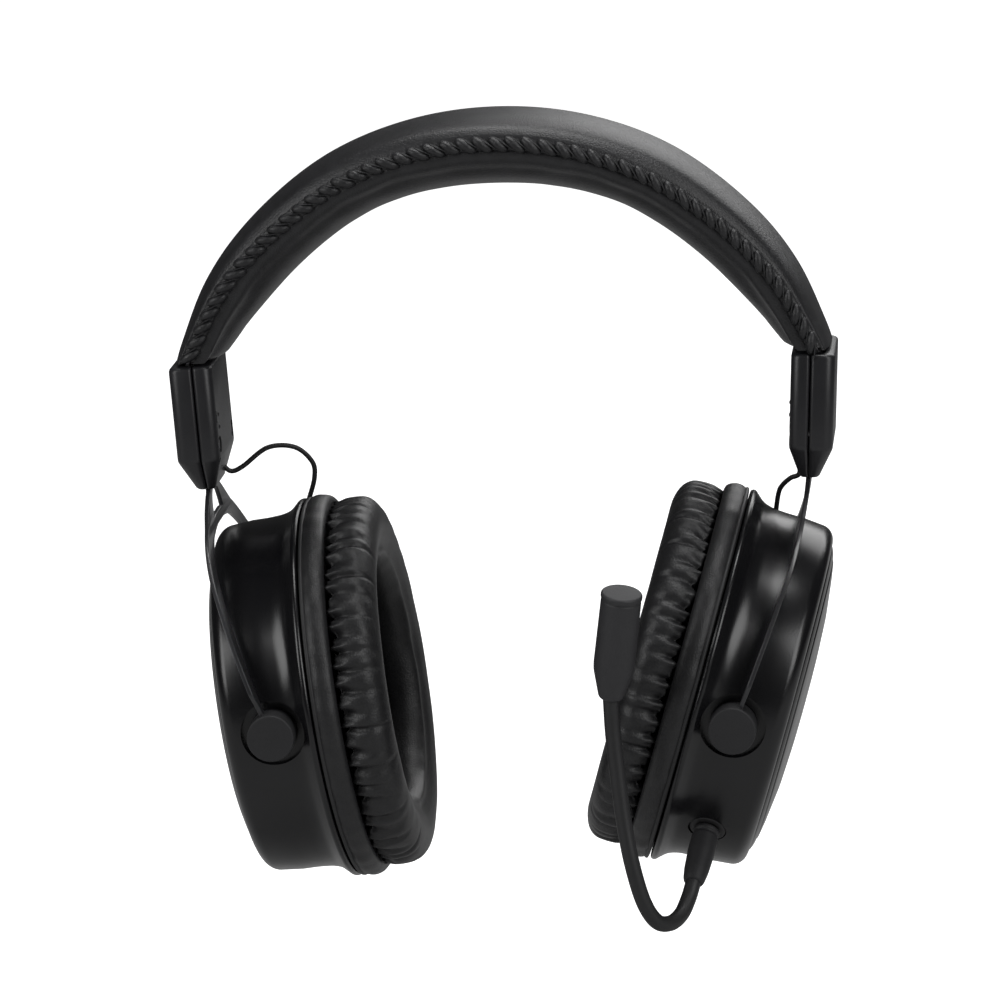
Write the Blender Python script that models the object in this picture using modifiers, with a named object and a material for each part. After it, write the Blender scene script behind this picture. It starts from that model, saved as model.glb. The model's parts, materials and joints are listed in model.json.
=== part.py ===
"""Over-ear gaming headset: sprung headband, slider housings, stamped yokes, tilting cups and a plug-in microphone.

Frame: +X is the wearer's left, -Y the wearer's front, +Z up. The origin is the middle of the
headband pad's underside, where the headset rests on a head or a stand.
"""

import math

import bmesh
import bpy
import numpy as np
from mathutils import Matrix, Vector

MM = 0.001
GAP = 0.3

# Driving dimensions, in millimetres and degrees.
PAD_CROWN = 12.7
SEAM_HALF_OUTLINE = ((0, 0), (20.5, -2.5), (40.5, -10.3), (58.5, -23.6), (70.9, -37.6), (80.3, -55.2))
SPRING_TAIL = ((80.9, -57.0), (80.9, -62.0))
BAND_HALF_WIDTH_TOP = 19.6
BAND_HALF_WIDTH_END = 15.0
COVER_RISE = 5.6
PAD_DEPTH_SHOULDER = 12.4
PAD_DEPTH_END = 9.0
SPRING_HALF_WIDTH = 11.5
SPRING_THICK = 0.8
BAND_STATIONS = 25

PIVOT_OUT = 58.2
PIVOT_Z = -132.3
TILT = {"left": 16.8, "right": 7.4}

HOUSING_BOTTOM_Z = 56.0
HOUSING_HEIGHT = 33.0
HOUSING_HALF_DEPTH = 15.6
HOUSING_OUTER_THICK = 6.2
HOUSING_INNER_THICK = 5.0
NOZZLE_HEIGHT = 8.5
NOZZLE_HALF_DEPTH = 9.2
HOUSING_LEAN = 3.0
POCKET_OFFSET = 1.9

YOKE_THICK = 1.2
YOKE_BEND_START = 35.0
YOKE_BEND_END = 58.0
YOKE_LOWER_SLOPE = 22.0
BLADE_HALF_WIDTH = 7.5
BLADE_TOP_Z = 83.5
ARM_INNER_RADIUS = 47.2
ARM_OUTER_RADIUS = 52.4

SHELL_RADIUS = 45.9
SHELL_WALL = 2.0
FLARE_RADIUS = 49.6
BAFFLE_RADIUS = 49.9
CUSHION_RADIUS = 49.3
EAR_RADIUS = 30.0
CUSHION_SEAT = -17.5
CUSHION_FACE = -30.6
CUP_STEPS = 28

KNOB_RADIUS = 6.0
KNOB_FACE = 51.6
KNOB_SEAT = 43.6
POCKET_RADIUS = 8.3
POCKET_FLOOR = 43.2

JACK_ANGLE = 42.0
JACK_AXIAL = 0.9
PLUG_RADIUS = 3.4
PLUG_LENGTH = 17.0
BOOM_RADIUS = 2.0
INLET_ANGLE = 62.0

SIDES = {"right": -1, "left": 1}

parts = None
helpers = None


def clear_scene():
    for obj in list(bpy.data.objects):
        bpy.data.objects.remove(obj)


def collection(name, hidden=False):
    made = bpy.data.collections.new(name)
    made.hide_render = hidden
    bpy.context.scene.collection.children.link(made)
    return made


def finish(name, color, roughness, metallic=0.0):
    made = bpy.data.materials.new(name)
    made.use_nodes = True
    shader = made.node_tree.nodes["Principled BSDF"]
    shader.inputs["Base Color"].default_value = (*color, 1.0)
    shader.inputs["Roughness"].default_value = roughness
    shader.inputs["Metallic"].default_value = metallic
    return made


def add_object(name, mesh, material, parent=None, helper=False):
    """Links a mesh made in millimetres as an object in metres."""
    obj = bpy.data.objects.new(name, mesh)
    mesh.transform(Matrix.Scale(MM, 4))
    (helpers if helper else parts).objects.link(obj)
    if helper:
        obj.hide_render = True
        obj.display_type = "WIRE"
    else:
        mesh.materials.append(material)
    obj.parent = parent
    return obj


def add_empty(name, location, rotation=(0, 0, 0), parent=None):
    empty = bpy.data.objects.new(name, None)
    empty.empty_display_size = 0.01
    parts.objects.link(empty)
    empty.location = Vector(location) * MM
    empty.rotation_euler = [math.radians(angle) for angle in rotation]
    empty.parent = parent
    return empty


def smooth(obj, angle=35):
    obj.data.shade_smooth()
    obj.data.set_sharp_from_angle(angle=math.radians(angle))
    return obj


def mesh_of(bm, name):
    bmesh.ops.recalc_face_normals(bm, faces=bm.faces)
    mesh = bpy.data.meshes.new(name)
    bm.to_mesh(mesh)
    bm.free()
    return mesh


def box_mesh(name, low, high):
    bm = bmesh.new()
    bmesh.ops.create_cube(bm, size=1)
    size = [b - a for a, b in zip(low, high)]
    middle = [(a + b) / 2 for a, b in zip(low, high)]
    bmesh.ops.transform(bm, matrix=Matrix.Translation(middle) @ Matrix.Diagonal((*size, 1)), verts=bm.verts)
    return mesh_of(bm, name)


def along_y(start, end):
    """Turns a Z-axis cylinder of unit height about its middle so that it runs from start to end along Y."""
    return Matrix.Translation((0, (start + end) / 2, 0)) @ Matrix.Rotation(math.radians(90), 4, "X")


def rod_mesh(name, radius, start, end, segments=20, place=None, bevel=0.0):
    """A cylinder along Y from start to end, in millimetres, then placed by a matrix."""
    bm = bmesh.new()
    length = abs(end - start)
    bmesh.ops.create_cone(bm, cap_ends=True, segments=segments, radius1=radius, radius2=radius, depth=length)
    if bevel:
        rims = [edge for edge in bm.edges if abs(edge.verts[0].co.z - edge.verts[1].co.z) < 0.01]
        bmesh.ops.bevel(bm, geom=rims, offset=bevel, segments=1, affect="EDGES")
    matrix = along_y(start, end)
    bmesh.ops.transform(bm, matrix=(place or Matrix()) @ matrix, verts=bm.verts)
    return mesh_of(bm, name)


def boolean(obj, cutter, operation="DIFFERENCE"):
    modifier = obj.modifiers.new(cutter.name, "BOOLEAN")
    modifier.operation = operation
    modifier.solver = "EXACT"
    modifier.object = cutter
    return obj


def turned(name, profile, material, parent, side, steps=CUP_STEPS, closed=True):
    """A solid turned about the cup's axis. The profile lists (radius, outward) down the outer side first."""
    mesh = bpy.data.meshes.new(name)
    count = len(profile)
    edges = [(i, i + 1) for i in range(count - 1)]
    if closed:
        edges.append((count - 1, 0))
    mesh.from_pydata([(radius, 0, outward) for radius, outward in profile], edges, [])
    obj = add_object(name, mesh, material, parent)
    obj.rotation_euler = (0, math.radians(90 * side), 0)
    screw = obj.modifiers.new("turn", "SCREW")
    screw.axis = "Z"
    screw.steps = steps
    screw.render_steps = steps
    screw.use_merge_vertices = True
    screw.merge_threshold = 0.00001
    screw.use_smooth_shade = True
    return obj


def arc(center, radius, start, end, count):
    """Points on an arc, angles in degrees from the first axis."""
    angles = np.radians(np.linspace(start, end, count))
    return [(center[0] + radius * math.cos(a), center[1] + radius * math.sin(a)) for a in angles]


def spline_points(points, count, start=0.0, end=1.0):
    """Evenly spaced points on a Catmull-Rom curve through the given ones, between two shares of its length."""
    base = np.array(points, float)
    padded = np.vstack([2 * base[0] - base[1], base, 2 * base[-1] - base[-2]])
    fine = []
    for i in range(len(base) - 1):
        a, b, c, d = padded[i : i + 4]
        for t in np.linspace(0, 1, 24, endpoint=False):
            fine.append(0.5 * (2 * b + (c - a) * t + (2 * a - 5 * b + 4 * c - d) * t**2
                               + (3 * b - a - 3 * c + d) * t**3))
    fine = np.array(fine + [base[-1]])
    run = np.concatenate([[0], np.cumsum(np.linalg.norm(np.diff(fine, axis=0), axis=1))])
    wanted = np.linspace(start * run[-1], end * run[-1], count)
    return np.column_stack([np.interp(wanted, run, fine[:, k]) for k in range(base.shape[1])])


def tube(name, points, radius, material, parent, count, start=0.0, end=1.0):
    """A round lead or boom along a smooth route, as a POLY spline with a bevel and filled caps."""
    route = spline_points(points, count, start, end)
    curve = bpy.data.curves.new(name, "CURVE")
    curve.dimensions = "3D"
    curve.bevel_depth = radius * MM
    curve.bevel_resolution = 2
    curve.use_fill_caps = True
    spline = curve.splines.new("POLY")
    spline.points.add(len(route) - 1)
    for point, place in zip(spline.points, route):
        point.co = (*(place * MM), 1)
    obj = bpy.data.objects.new(name, curve)
    curve.materials.append(material)
    parts.objects.link(obj)
    obj.parent = parent
    return obj


def band_frame(tail=()):
    """Stations along the band's seam line: place, outward normal and how far along each half, 0 to 1."""
    half = spline_points(SEAM_HALF_OUTLINE, BAND_STATIONS // 2 + 1)
    half = np.vstack([half, *[np.array([point]) for point in tail]])
    line = np.vstack([(half * (-1, 1))[::-1], half[1:]])
    tangent = np.gradient(line, axis=0)
    tangent /= np.linalg.norm(tangent, axis=1)[:, None]
    normal = np.column_stack([-tangent[:, 1], tangent[:, 0]])
    normal[: len(tail) + 1] = (-1, 0)
    normal[-len(tail) - 1 :] = (1, 0)
    along = np.abs(np.linspace(-1, 1, len(line)))
    return line + (0, PAD_CROWN), normal, along


def half_width(along):
    return BAND_HALF_WIDTH_TOP + (BAND_HALF_WIDTH_END - BAND_HALF_WIDTH_TOP) * along**1.5


def pad_depth(along):
    shoulder = PAD_CROWN + (PAD_DEPTH_SHOULDER - PAD_CROWN) * min(1, along / 0.4)
    if along < 0.7:
        return shoulder
    return shoulder + (PAD_DEPTH_END - shoulder) * ((along - 0.7) / 0.3) ** 2


def loft(name, sections, material):
    """A closed solid through sections of equal point count, each a list of world points."""
    bm = bmesh.new()
    rings = [[bm.verts.new(point) for point in section] for section in sections]
    for one, other in zip(rings, rings[1:]):
        for i in range(len(one)):
            j = (i + 1) % len(one)
            bm.faces.new((one[i], one[j], other[j], other[i]))
    bm.faces.new(rings[0][::-1])
    bm.faces.new(rings[-1])
    return smooth(add_object(name, mesh_of(bm, name), material), 50)


def band_solid(name, material, section, tail=()):
    line, normal, along = band_frame(tail)
    sections = []
    for i in range(len(line)):
        points = section(along[i])
        sections.append([(line[i][0] + normal[i][0] * n, y, line[i][1] + normal[i][1] * n) for y, n in points])
    return loft(name, sections, material)


def cover_section(along):
    wide = half_width(along)
    floor = SPRING_THICK / 2 + GAP
    return [(wide * math.cos(a), floor + (COVER_RISE - floor) * math.sin(a))
            for a in np.radians(np.linspace(0, 180, 9))]


def pad_section(along):
    wide = half_width(along)
    top = -SPRING_THICK / 2 - GAP
    deep = pad_depth(along)
    return [(wide * math.cos(a), top + (deep + top) * math.sin(a))
            for a in np.radians(np.linspace(180, 360, 11))]


def spring_section(along):
    return [(SPRING_HALF_WIDTH, -SPRING_THICK / 2), (SPRING_HALF_WIDTH, SPRING_THICK / 2),
            (-SPRING_HALF_WIDTH, SPRING_THICK / 2), (-SPRING_HALF_WIDTH, -SPRING_THICK / 2)]


def yoke_out(z):
    """How far outward of the pivot the yoke's sheet stands at a height above the pivot."""
    slope = math.radians(YOKE_LOWER_SLOPE)
    lean = math.radians(HOUSING_LEAN)
    if z <= YOKE_BEND_START:
        return z * math.tan(slope)
    radius = (YOKE_BEND_END - YOKE_BEND_START) / (math.sin(slope) - math.sin(lean))
    base = YOKE_BEND_START * math.tan(slope)
    if z <= YOKE_BEND_END:
        angle = math.asin(math.sin(slope) - (z - YOKE_BEND_START) / radius)
        return base + radius * (math.cos(angle) - math.cos(slope))
    top = base + radius * (math.cos(lean) - math.cos(slope))
    return top + (z - YOKE_BEND_END) * math.tan(lean)


def yoke_outline():
    """The yoke's flat outline on its front half, as (y, z) about the pivot, from the blade down to the tab."""
    edge = [(BLADE_HALF_WIDTH, BLADE_TOP_Z), (BLADE_HALF_WIDTH, 55.5), (11.5, 53.6), (15.5, 51.4)]
    outer = arc((0, 0), ARM_OUTER_RADIUS, 66, 12, 9)
    tab = [(49.6, 7.5), (49.4, 1.8), (46.8, 1.8), (46.8, 7.0)]
    inner = arc((0, 0), ARM_INNER_RADIUS, 12, 70, 9)
    arch = [(10.5, 45.6), (5.5, 46.2)]
    return edge + outer + tab + inner + arch


def flat_mesh(name, outlines, thick):
    """A flat plate in the YZ plane from closed outlines, the later ones holes."""
    curve = bpy.data.curves.new(name, "CURVE")
    curve.dimensions = "2D"
    curve.fill_mode = "BOTH"
    curve.extrude = thick / 2
    for outline in outlines:
        spline = curve.splines.new("POLY")
        spline.points.add(len(outline) - 1)
        for point, (y, z) in zip(spline.points, outline):
            point.co = (y, z, 0, 1)
        spline.use_cyclic_u = True
    obj = bpy.data.objects.new(name, curve)
    bpy.context.scene.collection.objects.link(obj)
    bpy.context.view_layer.update()
    graph = bpy.context.evaluated_depsgraph_get()
    mesh = bpy.data.meshes.new_from_object(obj.evaluated_get(graph))
    bpy.data.objects.remove(obj)
    bm = bmesh.new()
    bm.from_mesh(mesh)
    bmesh.ops.remove_doubles(bm, verts=bm.verts, dist=0.001)
    turn = Matrix(((0, 0, 1, 0), (1, 0, 0, 0), (0, 1, 0, 0), (0, 0, 0, 1)))
    bmesh.ops.transform(bm, matrix=turn, verts=bm.verts)
    return bm


def make_yoke(label, side, parent, material):
    half = yoke_outline()
    outline = half + [(-y, z) for y, z in half[::-1]]
    hole = arc((0, 47.2), 8.2, 8, 172, 9) + [(-5.5, 48.8), (5.5, 48.8)]
    bm = flat_mesh(f"{label}_yoke", [outline, hole], YOKE_THICK)
    for height in np.arange(5, YOKE_BEND_END + 1, 6.5):
        geometry = bm.verts[:] + bm.edges[:] + bm.faces[:]
        bmesh.ops.bisect_plane(bm, geom=geometry, plane_co=(0, 0, height), plane_no=(0, 0, 1))
    for vert in bm.verts:
        vert.co.x = (vert.co.x + yoke_out(vert.co.z)) * side
    bmesh.ops.triangulate(bm, faces=bm.faces)
    return add_object(f"{label}_yoke", mesh_of(bm, f"{label}_yoke"), material, parent)


def rounded_plate(name, low_x, high_x, half_depth, low_z, high_z, corner, material, parent, lower_half):
    """A housing half: a plate with rounded upright edges whose bottom tapers to a narrow nozzle."""
    outer_is_high = high_x > -low_x
    levels = [(high_z, 1.0, half_depth), (low_z + NOZZLE_HEIGHT, 1.0, half_depth), (low_z, lower_half, NOZZLE_HALF_DEPTH)]
    sections = []
    for z, fill, depth in levels:
        near, far = (low_x, low_x + (high_x - low_x) * fill) if outer_is_high else (
            high_x, high_x + (low_x - high_x) * fill)
        reach = abs(far - near)
        turn = 1 if outer_is_high else -1
        round_off = min(corner, reach * 0.7)
        ring = [(near, -depth)]
        ring += [(near + turn * x, y) for x, y in
                 arc((reach - round_off, -depth + round_off), round_off, -90, 0, 5)]
        ring += [(near + turn * x, y) for x, y in
                 arc((reach - round_off, depth - round_off), round_off, 0, 90, 5)]
        ring += [(near, depth)]
        sections.append([(x, y, z) for x, y in ring])
    bm = bmesh.new()
    rings = [[bm.verts.new(point) for point in section] for section in sections]
    for one, other in zip(rings, rings[1:]):
        for i in range(len(one)):
            j = (i + 1) % len(one)
            bm.faces.new((one[i], one[j], other[j], other[i]))
    bm.faces.new(rings[0][::-1])
    bm.faces.new(rings[-1])
    return add_object(name, mesh_of(bm, name), material, parent)


def make_housing(label, side, frame, looks):
    """Outer and inner housing shells around the yoke's blade and the end of the spring strip."""
    place = add_empty(f"{label}_housing_frame", (side * yoke_out(HOUSING_BOTTOM_Z), 0, HOUSING_BOTTOM_Z),
                      (0, side * HOUSING_LEAN, 0), frame)
    top = HOUSING_HEIGHT
    half_gap = GAP / 2
    spans = {
        "outer": (half_gap, HOUSING_OUTER_THICK, 0.42),
        "inner": (-HOUSING_INNER_THICK, -half_gap, 0.42),
    }
    shells = {}
    for half, (low, high, lower) in spans.items():
        low_x, high_x = (low, high) if side > 0 else (-high, -low)
        shell = rounded_plate(f"{label}_housing_{half}", low_x, high_x, HOUSING_HALF_DEPTH, 0, top, 2.4,
                              looks["housing"], place, lower)
        shells[half] = smooth(shell, 40)
    blade = YOKE_THICK / 2 + GAP
    slot = add_object(f"{label}_blade_slot", box_mesh("slot", (-blade, -BLADE_HALF_WIDTH - GAP, -2),
                                                    (blade, BLADE_HALF_WIDTH + GAP, top - 2.0)),
                      None, place, True)
    for shell in shells.values():
        boolean(shell, slot)
    pocket = add_object(f"{label}_spring_pocket",
                        box_mesh("pocket", (-1.8, -SPRING_HALF_WIDTH - 0.6, top - 8.5),
                                 (1.8, SPRING_HALF_WIDTH + 0.6, top + 2)), None, place, True)
    pocket.location = (side * POCKET_OFFSET * MM, 0, 0)
    boolean(shells["outer"], pocket)
    for number, y in enumerate((-11.4, 11.4), 1):
        make_housing_screw(label, side, place, shells, number, y, looks["steel"])
    clip = box_mesh("clip", (-0.4, -5, -4), (0.4, 5, 4))
    spring = add_object(f"{label}_detent_spring", clip, looks["steel"], place)
    spring.location = (side * (-1.6) * MM, 0, 20 * MM)
    room = add_object(f"{label}_detent_room", box_mesh("room", (-0.8, -5.4, -4.4), (0.8, 5.4, 4.4)), None, place, True)
    room.location = (side * (-1.6) * MM, 0, 20 * MM)
    boolean(shells["inner"], room)
    return place, shells


def make_housing_screw(label, side, place, shells, number, y, material):
    """A countersunk screw from the inner shell into the outer one, in a hole with clearance."""
    across = Matrix.Rotation(math.radians(-90 * side), 4, "Z")
    spot = Matrix.Translation((0, y, 12)) @ across
    hole = rod_mesh("hole", 1.0 + GAP, -7, 3.4, 12, spot)
    boolean(shells["inner"], add_object(f"{label}_screw_hole_{number}", hole, None, place, True))
    boolean(shells["outer"], bpy.data.objects[f"{label}_screw_hole_{number}"])
    sink = rod_mesh("sink", 1.9 + GAP, -7, -3.6, 14, spot)
    boolean(shells["inner"], add_object(f"{label}_screw_sink_{number}", sink, None, place, True))
    bm = bmesh.new()
    bmesh.ops.create_cone(bm, cap_ends=True, segments=12, radius1=1.0, radius2=1.0, depth=7.0)
    bmesh.ops.transform(bm, matrix=spot @ along_y(-4.0, 3.0), verts=bm.verts)
    screw = add_object(f"{label}_housing_screw_{number}", mesh_of(bm, "screw"), material, place)
    head = rod_mesh("head", 1.9, -4.6, -3.9, 14, spot)
    boolean(screw, add_object(f"{label}_screw_head_{number}", head, None, place, True), "UNION")
    return smooth(screw)


def shell_profile():
    """The cup shell's wall, (radius, outward), outer side from the outer corner to the flare, then back."""
    corner = arc((SHELL_RADIUS - 4.3, 9.2), 3.8, 84, 8, 4)
    flank = [(SHELL_RADIUS, 0.0), (SHELL_RADIUS + 0.3, -4.2), (47.2, -7.2), (49.0, -9.2), (FLARE_RADIUS, -10.2),
             (FLARE_RADIUS - 0.4, -10.9), (44.6, -10.9)]
    inner = [(SHELL_RADIUS - SHELL_WALL, -4.0), (SHELL_RADIUS - SHELL_WALL - 0.3, 5.0), (41.5, 10.6)]
    return corner + flank + inner


def cap_profile():
    """The outer cap: a shallow dome with a flat middle, on a rim that drops inside the shell."""
    dome = [(14.0, 16.8), (24.0, 16.3), (33.0, 15.2), (39.2, 14.0), (40.9, 13.4), (40.9, 11.6), (40.5, 11.0)]
    return [(0.0, 16.8)] + dome + [(36.0, 11.0), (20.0, 13.4), (0.0, 13.8)]


def baffle_profile():
    """The baffle ring: the rim behind the cushion and the plate that carries the driver."""
    rim = [(49.4, -11.2), (BAFFLE_RADIUS, -12.0), (BAFFLE_RADIUS - 0.2, -15.0), (BAFFLE_RADIUS - 1.3, -16.9),
           (47.4, CUSHION_SEAT + GAP)]
    plate = [(21.6, CUSHION_SEAT + GAP), (21.6, -15.0), (43.5, -15.0), (43.5, -11.2)]
    return rim + plate


def cushion_profile():
    """The ear cushion's plain section, crowned on its outer side and rolled over at the face."""
    outer = [(47.3, CUSHION_SEAT), (48.8, -19.0), (CUSHION_RADIUS, -23.0), (48.8, -27.0), (46.3, -29.2),
             (42.0, CUSHION_FACE)]
    inner = [(36.5, -30.4), (32.0, -28.6), (EAR_RADIUS, -25.4), (EAR_RADIUS, -21.0), (31.0, CUSHION_SEAT)]
    return outer + inner


def make_cup(label, side, frame, looks):
    """The tilting cup on its pivot axis."""
    place = add_empty(f"{label}_cup_pivot", (0, 0, 0), (0, side * TILT[label], 0), frame)
    shell = turned(f"{label}_cup_shell", shell_profile(), looks["shell"], place, side)
    turned(f"{label}_outer_cap", cap_profile(), looks["cap"], place, side, closed=False)
    turned(f"{label}_baffle", baffle_profile(), looks["baffle"], place, side)
    turned(f"{label}_ear_cushion", cushion_profile(), looks["leather"], place, side)
    driver = [(20.9, -9.0), (20.9, -14.6), (21.2, -14.6), (21.2, -16.6), (18.0, -16.6), (12.0, -15.2), (12.0, -9.0)]
    turned(f"{label}_driver_frame", driver, looks["driver"], place, side, 24)
    magnet = [(0, -6.0), (11.4, -6.0), (11.6, -6.4), (11.6, -13.0), (0, -13.0)]
    turned(f"{label}_driver_magnet", magnet, looks["steel"], place, side, 20, False)
    grille = [(0, -17.1), (24.0, -17.5), (24.0, -18.3), (0, -18.3)]
    turned(f"{label}_driver_grille", grille, looks["grille"], place, side, 24, False)
    scrim = [(0, -18.9), (29.5, -18.9), (29.5, -19.7), (0, -19.7)]
    turned(f"{label}_scrim_cloth", scrim, looks["cloth"], place, side, 24, False)
    for spot, way in (("front", -1), ("rear", 1)):
        make_pivot(label, spot, way, side, frame, place, shell, looks)
    return place, shell


def make_pivot(label, spot, way, side, frame, cup, shell, looks):
    """A pivot knob on the yoke's tab, its screw, and the shell's boss and pocket for them."""
    inner_end = way * 39.5
    boss = rod_mesh("boss", POCKET_RADIUS + 2.0, inner_end, way * 44.6, 24)
    boolean(shell, add_object(f"{label}_{spot}_boss", boss, None, cup, True), "UNION")
    pocket = rod_mesh("pocket", POCKET_RADIUS, way * POCKET_FLOOR, way * 60, 24)
    boolean(shell, add_object(f"{label}_{spot}_pocket", pocket, None, cup, True))
    bore = rod_mesh("bore", 1.5 + GAP, way * 30, way * 50, 14)
    boolean(shell, add_object(f"{label}_{spot}_bore", bore, None, cup, True))

    knob = add_object(f"{label}_{spot}_knob",
                      rod_mesh("knob", KNOB_RADIUS, way * KNOB_SEAT, way * KNOB_FACE, 18, None, 0.45),
                      looks["knob"], frame)
    smooth(knob)
    lean = Matrix.Rotation(math.radians(side * YOKE_LOWER_SLOPE), 4, "Y")
    half = YOKE_THICK / 2 + GAP
    slot = box_mesh("slot", (-half, 46.4, 1.3), (half, 50.0, 9))
    slot.transform(Matrix.Rotation(math.radians(180 if way < 0 else 0), 4, "Z"))
    slot.transform(lean)
    boolean(knob, add_object(f"{label}_{spot}_tab_slot", slot, None, frame, True))
    socket = rod_mesh("socket", 1.5 + GAP, way * 40, way * 46.0, 14)
    boolean(knob, add_object(f"{label}_{spot}_screw_socket", socket, None, frame, True))
    screw = add_object(f"{label}_{spot}_pivot_screw", rod_mesh("screw", 1.5, way * 38.6, way * 45.6, 14),
                       looks["steel"], frame)
    head = rod_mesh("head", 3.0, way * 37.4, way * 39.1, 14)
    boolean(screw, add_object(f"{label}_{spot}_screw_head", head, None, frame, True), "UNION")
    smooth(screw)


def make_side(label, side, looks):
    frame = add_empty(f"{label}_pivot_frame", (side * PIVOT_OUT, 0, PIVOT_Z))
    make_housing(label, side, frame, looks)
    make_yoke(label, side, frame, looks["yoke"])
    cup, shell = make_cup(label, side, frame, looks)
    return frame, cup, shell


LEAD_ROUTES = {
    "right": ((15.4, 5.2, 53.9), (11.6, 6.0, 59.0), (5.2, 8.0, 63.4), (-1.6, 10.0, 63.0), (-5.8, 11.6, 58.8),
              (-6.2, 12.0, 54.4), (-4.8, 12.3, 50.4)),
    "left": ((16.2, 4.6, 54.2), (14.0, 6.0, 53.0), (11.8, 8.0, 50.8), (10.6, 10.4, 48.2), (10.0, 12.0, 45.2)),
}
LEAD_SPLIT = 0.5
LEAD_RADIUS = 0.65


def make_leads(label, side, frame, material):
    """The thin lead from the housing to the cup, in two lengths that meet with a small gap."""
    route = [(side * out, y, z) for out, y, z in LEAD_ROUTES[label]]
    tube(f"{label}_lead_upper", route, LEAD_RADIUS, material, frame, 8, 0.0, LEAD_SPLIT)
    tube(f"{label}_lead_lower", route, LEAD_RADIUS, material, frame, 8, LEAD_SPLIT + 0.02, 1.0)


# Offsets from the plug's end, upright and in line with the headset, not with the tilted cup.
MIC_ROUTE = ((0.0, 0.0, 0.0), (-0.7, -2.2, -2.6), (-1.6, -5.4, -4.6), (-3.6, -9.6, -5.3), (-6.4, -12.8, -3.6),
             (-9.4, -14.4, 1.6), (-12.5, -14.4, 10.8), (-15.0, -13.2, 21.2), (-17.2, -12.0, 34.0),
             (-18.1, -11.5, 43.0), (-18.3, -11.8, 51.4))
CAPSULE_TOP = (-14.2, -17.6, 79.4)
BOOM_SPLITS = (0.5, 0.74)
CAPSULE_RADIUS = 5.2


def place_on(obj, matrix):
    """Puts an object at a matrix given in millimetres, in its parent's frame."""
    obj.matrix_local = Matrix.Translation(matrix.translation * MM) @ matrix.to_3x3().to_4x4()
    return obj


def along(name, profile, matrix, material, parent, steps=20, closed=False):
    """A turned solid about a matrix's Z, its profile as (radius, height) down the outer side."""
    return place_on(turned(name, profile, material, parent, 0, steps, closed), matrix)


def mic_seat():
    """The jack's axis in the cup's frame: Z points out of the shell's flank, low at the front."""
    angle = math.radians(JACK_ANGLE)
    way = Vector((0, -math.cos(angle), -math.sin(angle)))
    turn = way.to_track_quat("Z", "X").to_matrix().to_4x4()
    return Matrix.Translation(Vector((JACK_AXIAL, 0, 0)) + way * 45.2) @ turn


def make_microphone(cup, shell, looks):
    seat = mic_seat()
    bush = [(4.6, 0.2), (4.6, -4.0), (3.0, -4.0), (3.0, -15.0), (2.1, -15.0), (2.1, 0.2)]
    along("mic_jack_socket", bush, seat, looks["socket"], cup, 18, True)
    opening = along("mic_jack_hole", [(0, 8), (4.9, 8), (4.9, -10), (0, -10)], seat, None, cup, 18)
    parts.objects.unlink(opening)
    helpers.objects.link(opening)
    opening.hide_render = True
    opening.display_type = "WIRE"
    boolean(shell, opening)
    pin = [(0, 0.2), (1.75, 0.2), (1.75, -12.5), (1.3, -13.2), (0, -14.4)]
    along("mic_jack_pin", pin, seat, looks["gold"], cup, 14)
    barrel = [(0, PLUG_LENGTH), (2.6, PLUG_LENGTH), (PLUG_RADIUS, PLUG_LENGTH - 1.0), (PLUG_RADIUS, 1.0),
              (2.9, 0.5), (0, 0.5)]
    along("mic_plug", barrel, seat, looks["knob"], cup, 20)

    end = seat @ Vector((0, 0, PLUG_LENGTH + 2 * GAP))
    to_cup = Matrix.Rotation(math.radians(-TILT["left"]), 3, "Y")
    route = [end + to_cup @ Vector(point) for point in MIC_ROUTE]
    first, second = BOOM_SPLITS
    tube("mic_boom_root", route, BOOM_RADIUS, looks["boom"], cup, 14, 0.0, first)
    tube("mic_boom_flex", route, BOOM_RADIUS, looks["boom"], cup, 6, first + 0.004, second)
    tube("mic_boom_tip", route, BOOM_RADIUS, looks["boom"], cup, 6, second + 0.004, 1.0)

    foot = route[-1]
    top = end + to_cup @ Vector(CAPSULE_TOP)
    way = (top - foot).normalized()
    capsule = Matrix.Translation(foot + way * 2 * GAP) @ way.to_track_quat("Z", "X").to_matrix().to_4x4()
    tall = (top - foot).length - 2 * GAP
    can = [(0, 14.0), (4.2, 14.0), (4.2, tall - 1.6), (CAPSULE_RADIUS, tall - 1.6), (CAPSULE_RADIUS, 8.0),
           (3.4, 1.2), (2.4, 0.0), (0, 0.0)]
    along("mic_capsule_housing", can, capsule, looks["mic"], cup, 20)
    disc = [(0, tall), (CAPSULE_RADIUS - 0.4, tall), (CAPSULE_RADIUS, tall - 0.4), (CAPSULE_RADIUS, tall - 1.2),
            (3.9, tall - 1.2), (3.9, tall - 3.0), (0, tall - 3.0)]
    along("mic_end_disc", disc, capsule, looks["mic"], cup, 20)
    electret = [(0, tall - 3.4), (3.0, tall - 3.4), (3.0, tall - 8.0), (0, tall - 8.0)]
    along("mic_electret", electret, capsule, looks["steel"], cup, 14)


def make_cable_inlet(cup, shell, looks):
    """The audio cable's blind inlet, low at the rear of the left cup."""
    angle = math.radians(INLET_ANGLE)
    way = Vector((0, math.cos(angle), -math.sin(angle)))
    seat = Matrix.Translation(way * 45.2) @ way.to_track_quat("Z", "X").to_matrix().to_4x4()
    opening = along("cable_inlet_hole", [(0, 8), (4.9, 8), (4.9, -10), (0, -10)], seat, None, cup, 18)
    parts.objects.unlink(opening)
    helpers.objects.link(opening)
    opening.hide_render = True
    opening.display_type = "WIRE"
    boolean(shell, opening)
    bush = [(0, -12.5), (1.9, -12.5), (1.9, 0.2), (4.6, 0.2), (4.6, -4.0), (3.0, -4.0), (3.0, -14.0), (0, -14.0)]
    along("cable_inlet", bush, seat, looks["socket"], cup, 18)


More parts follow.
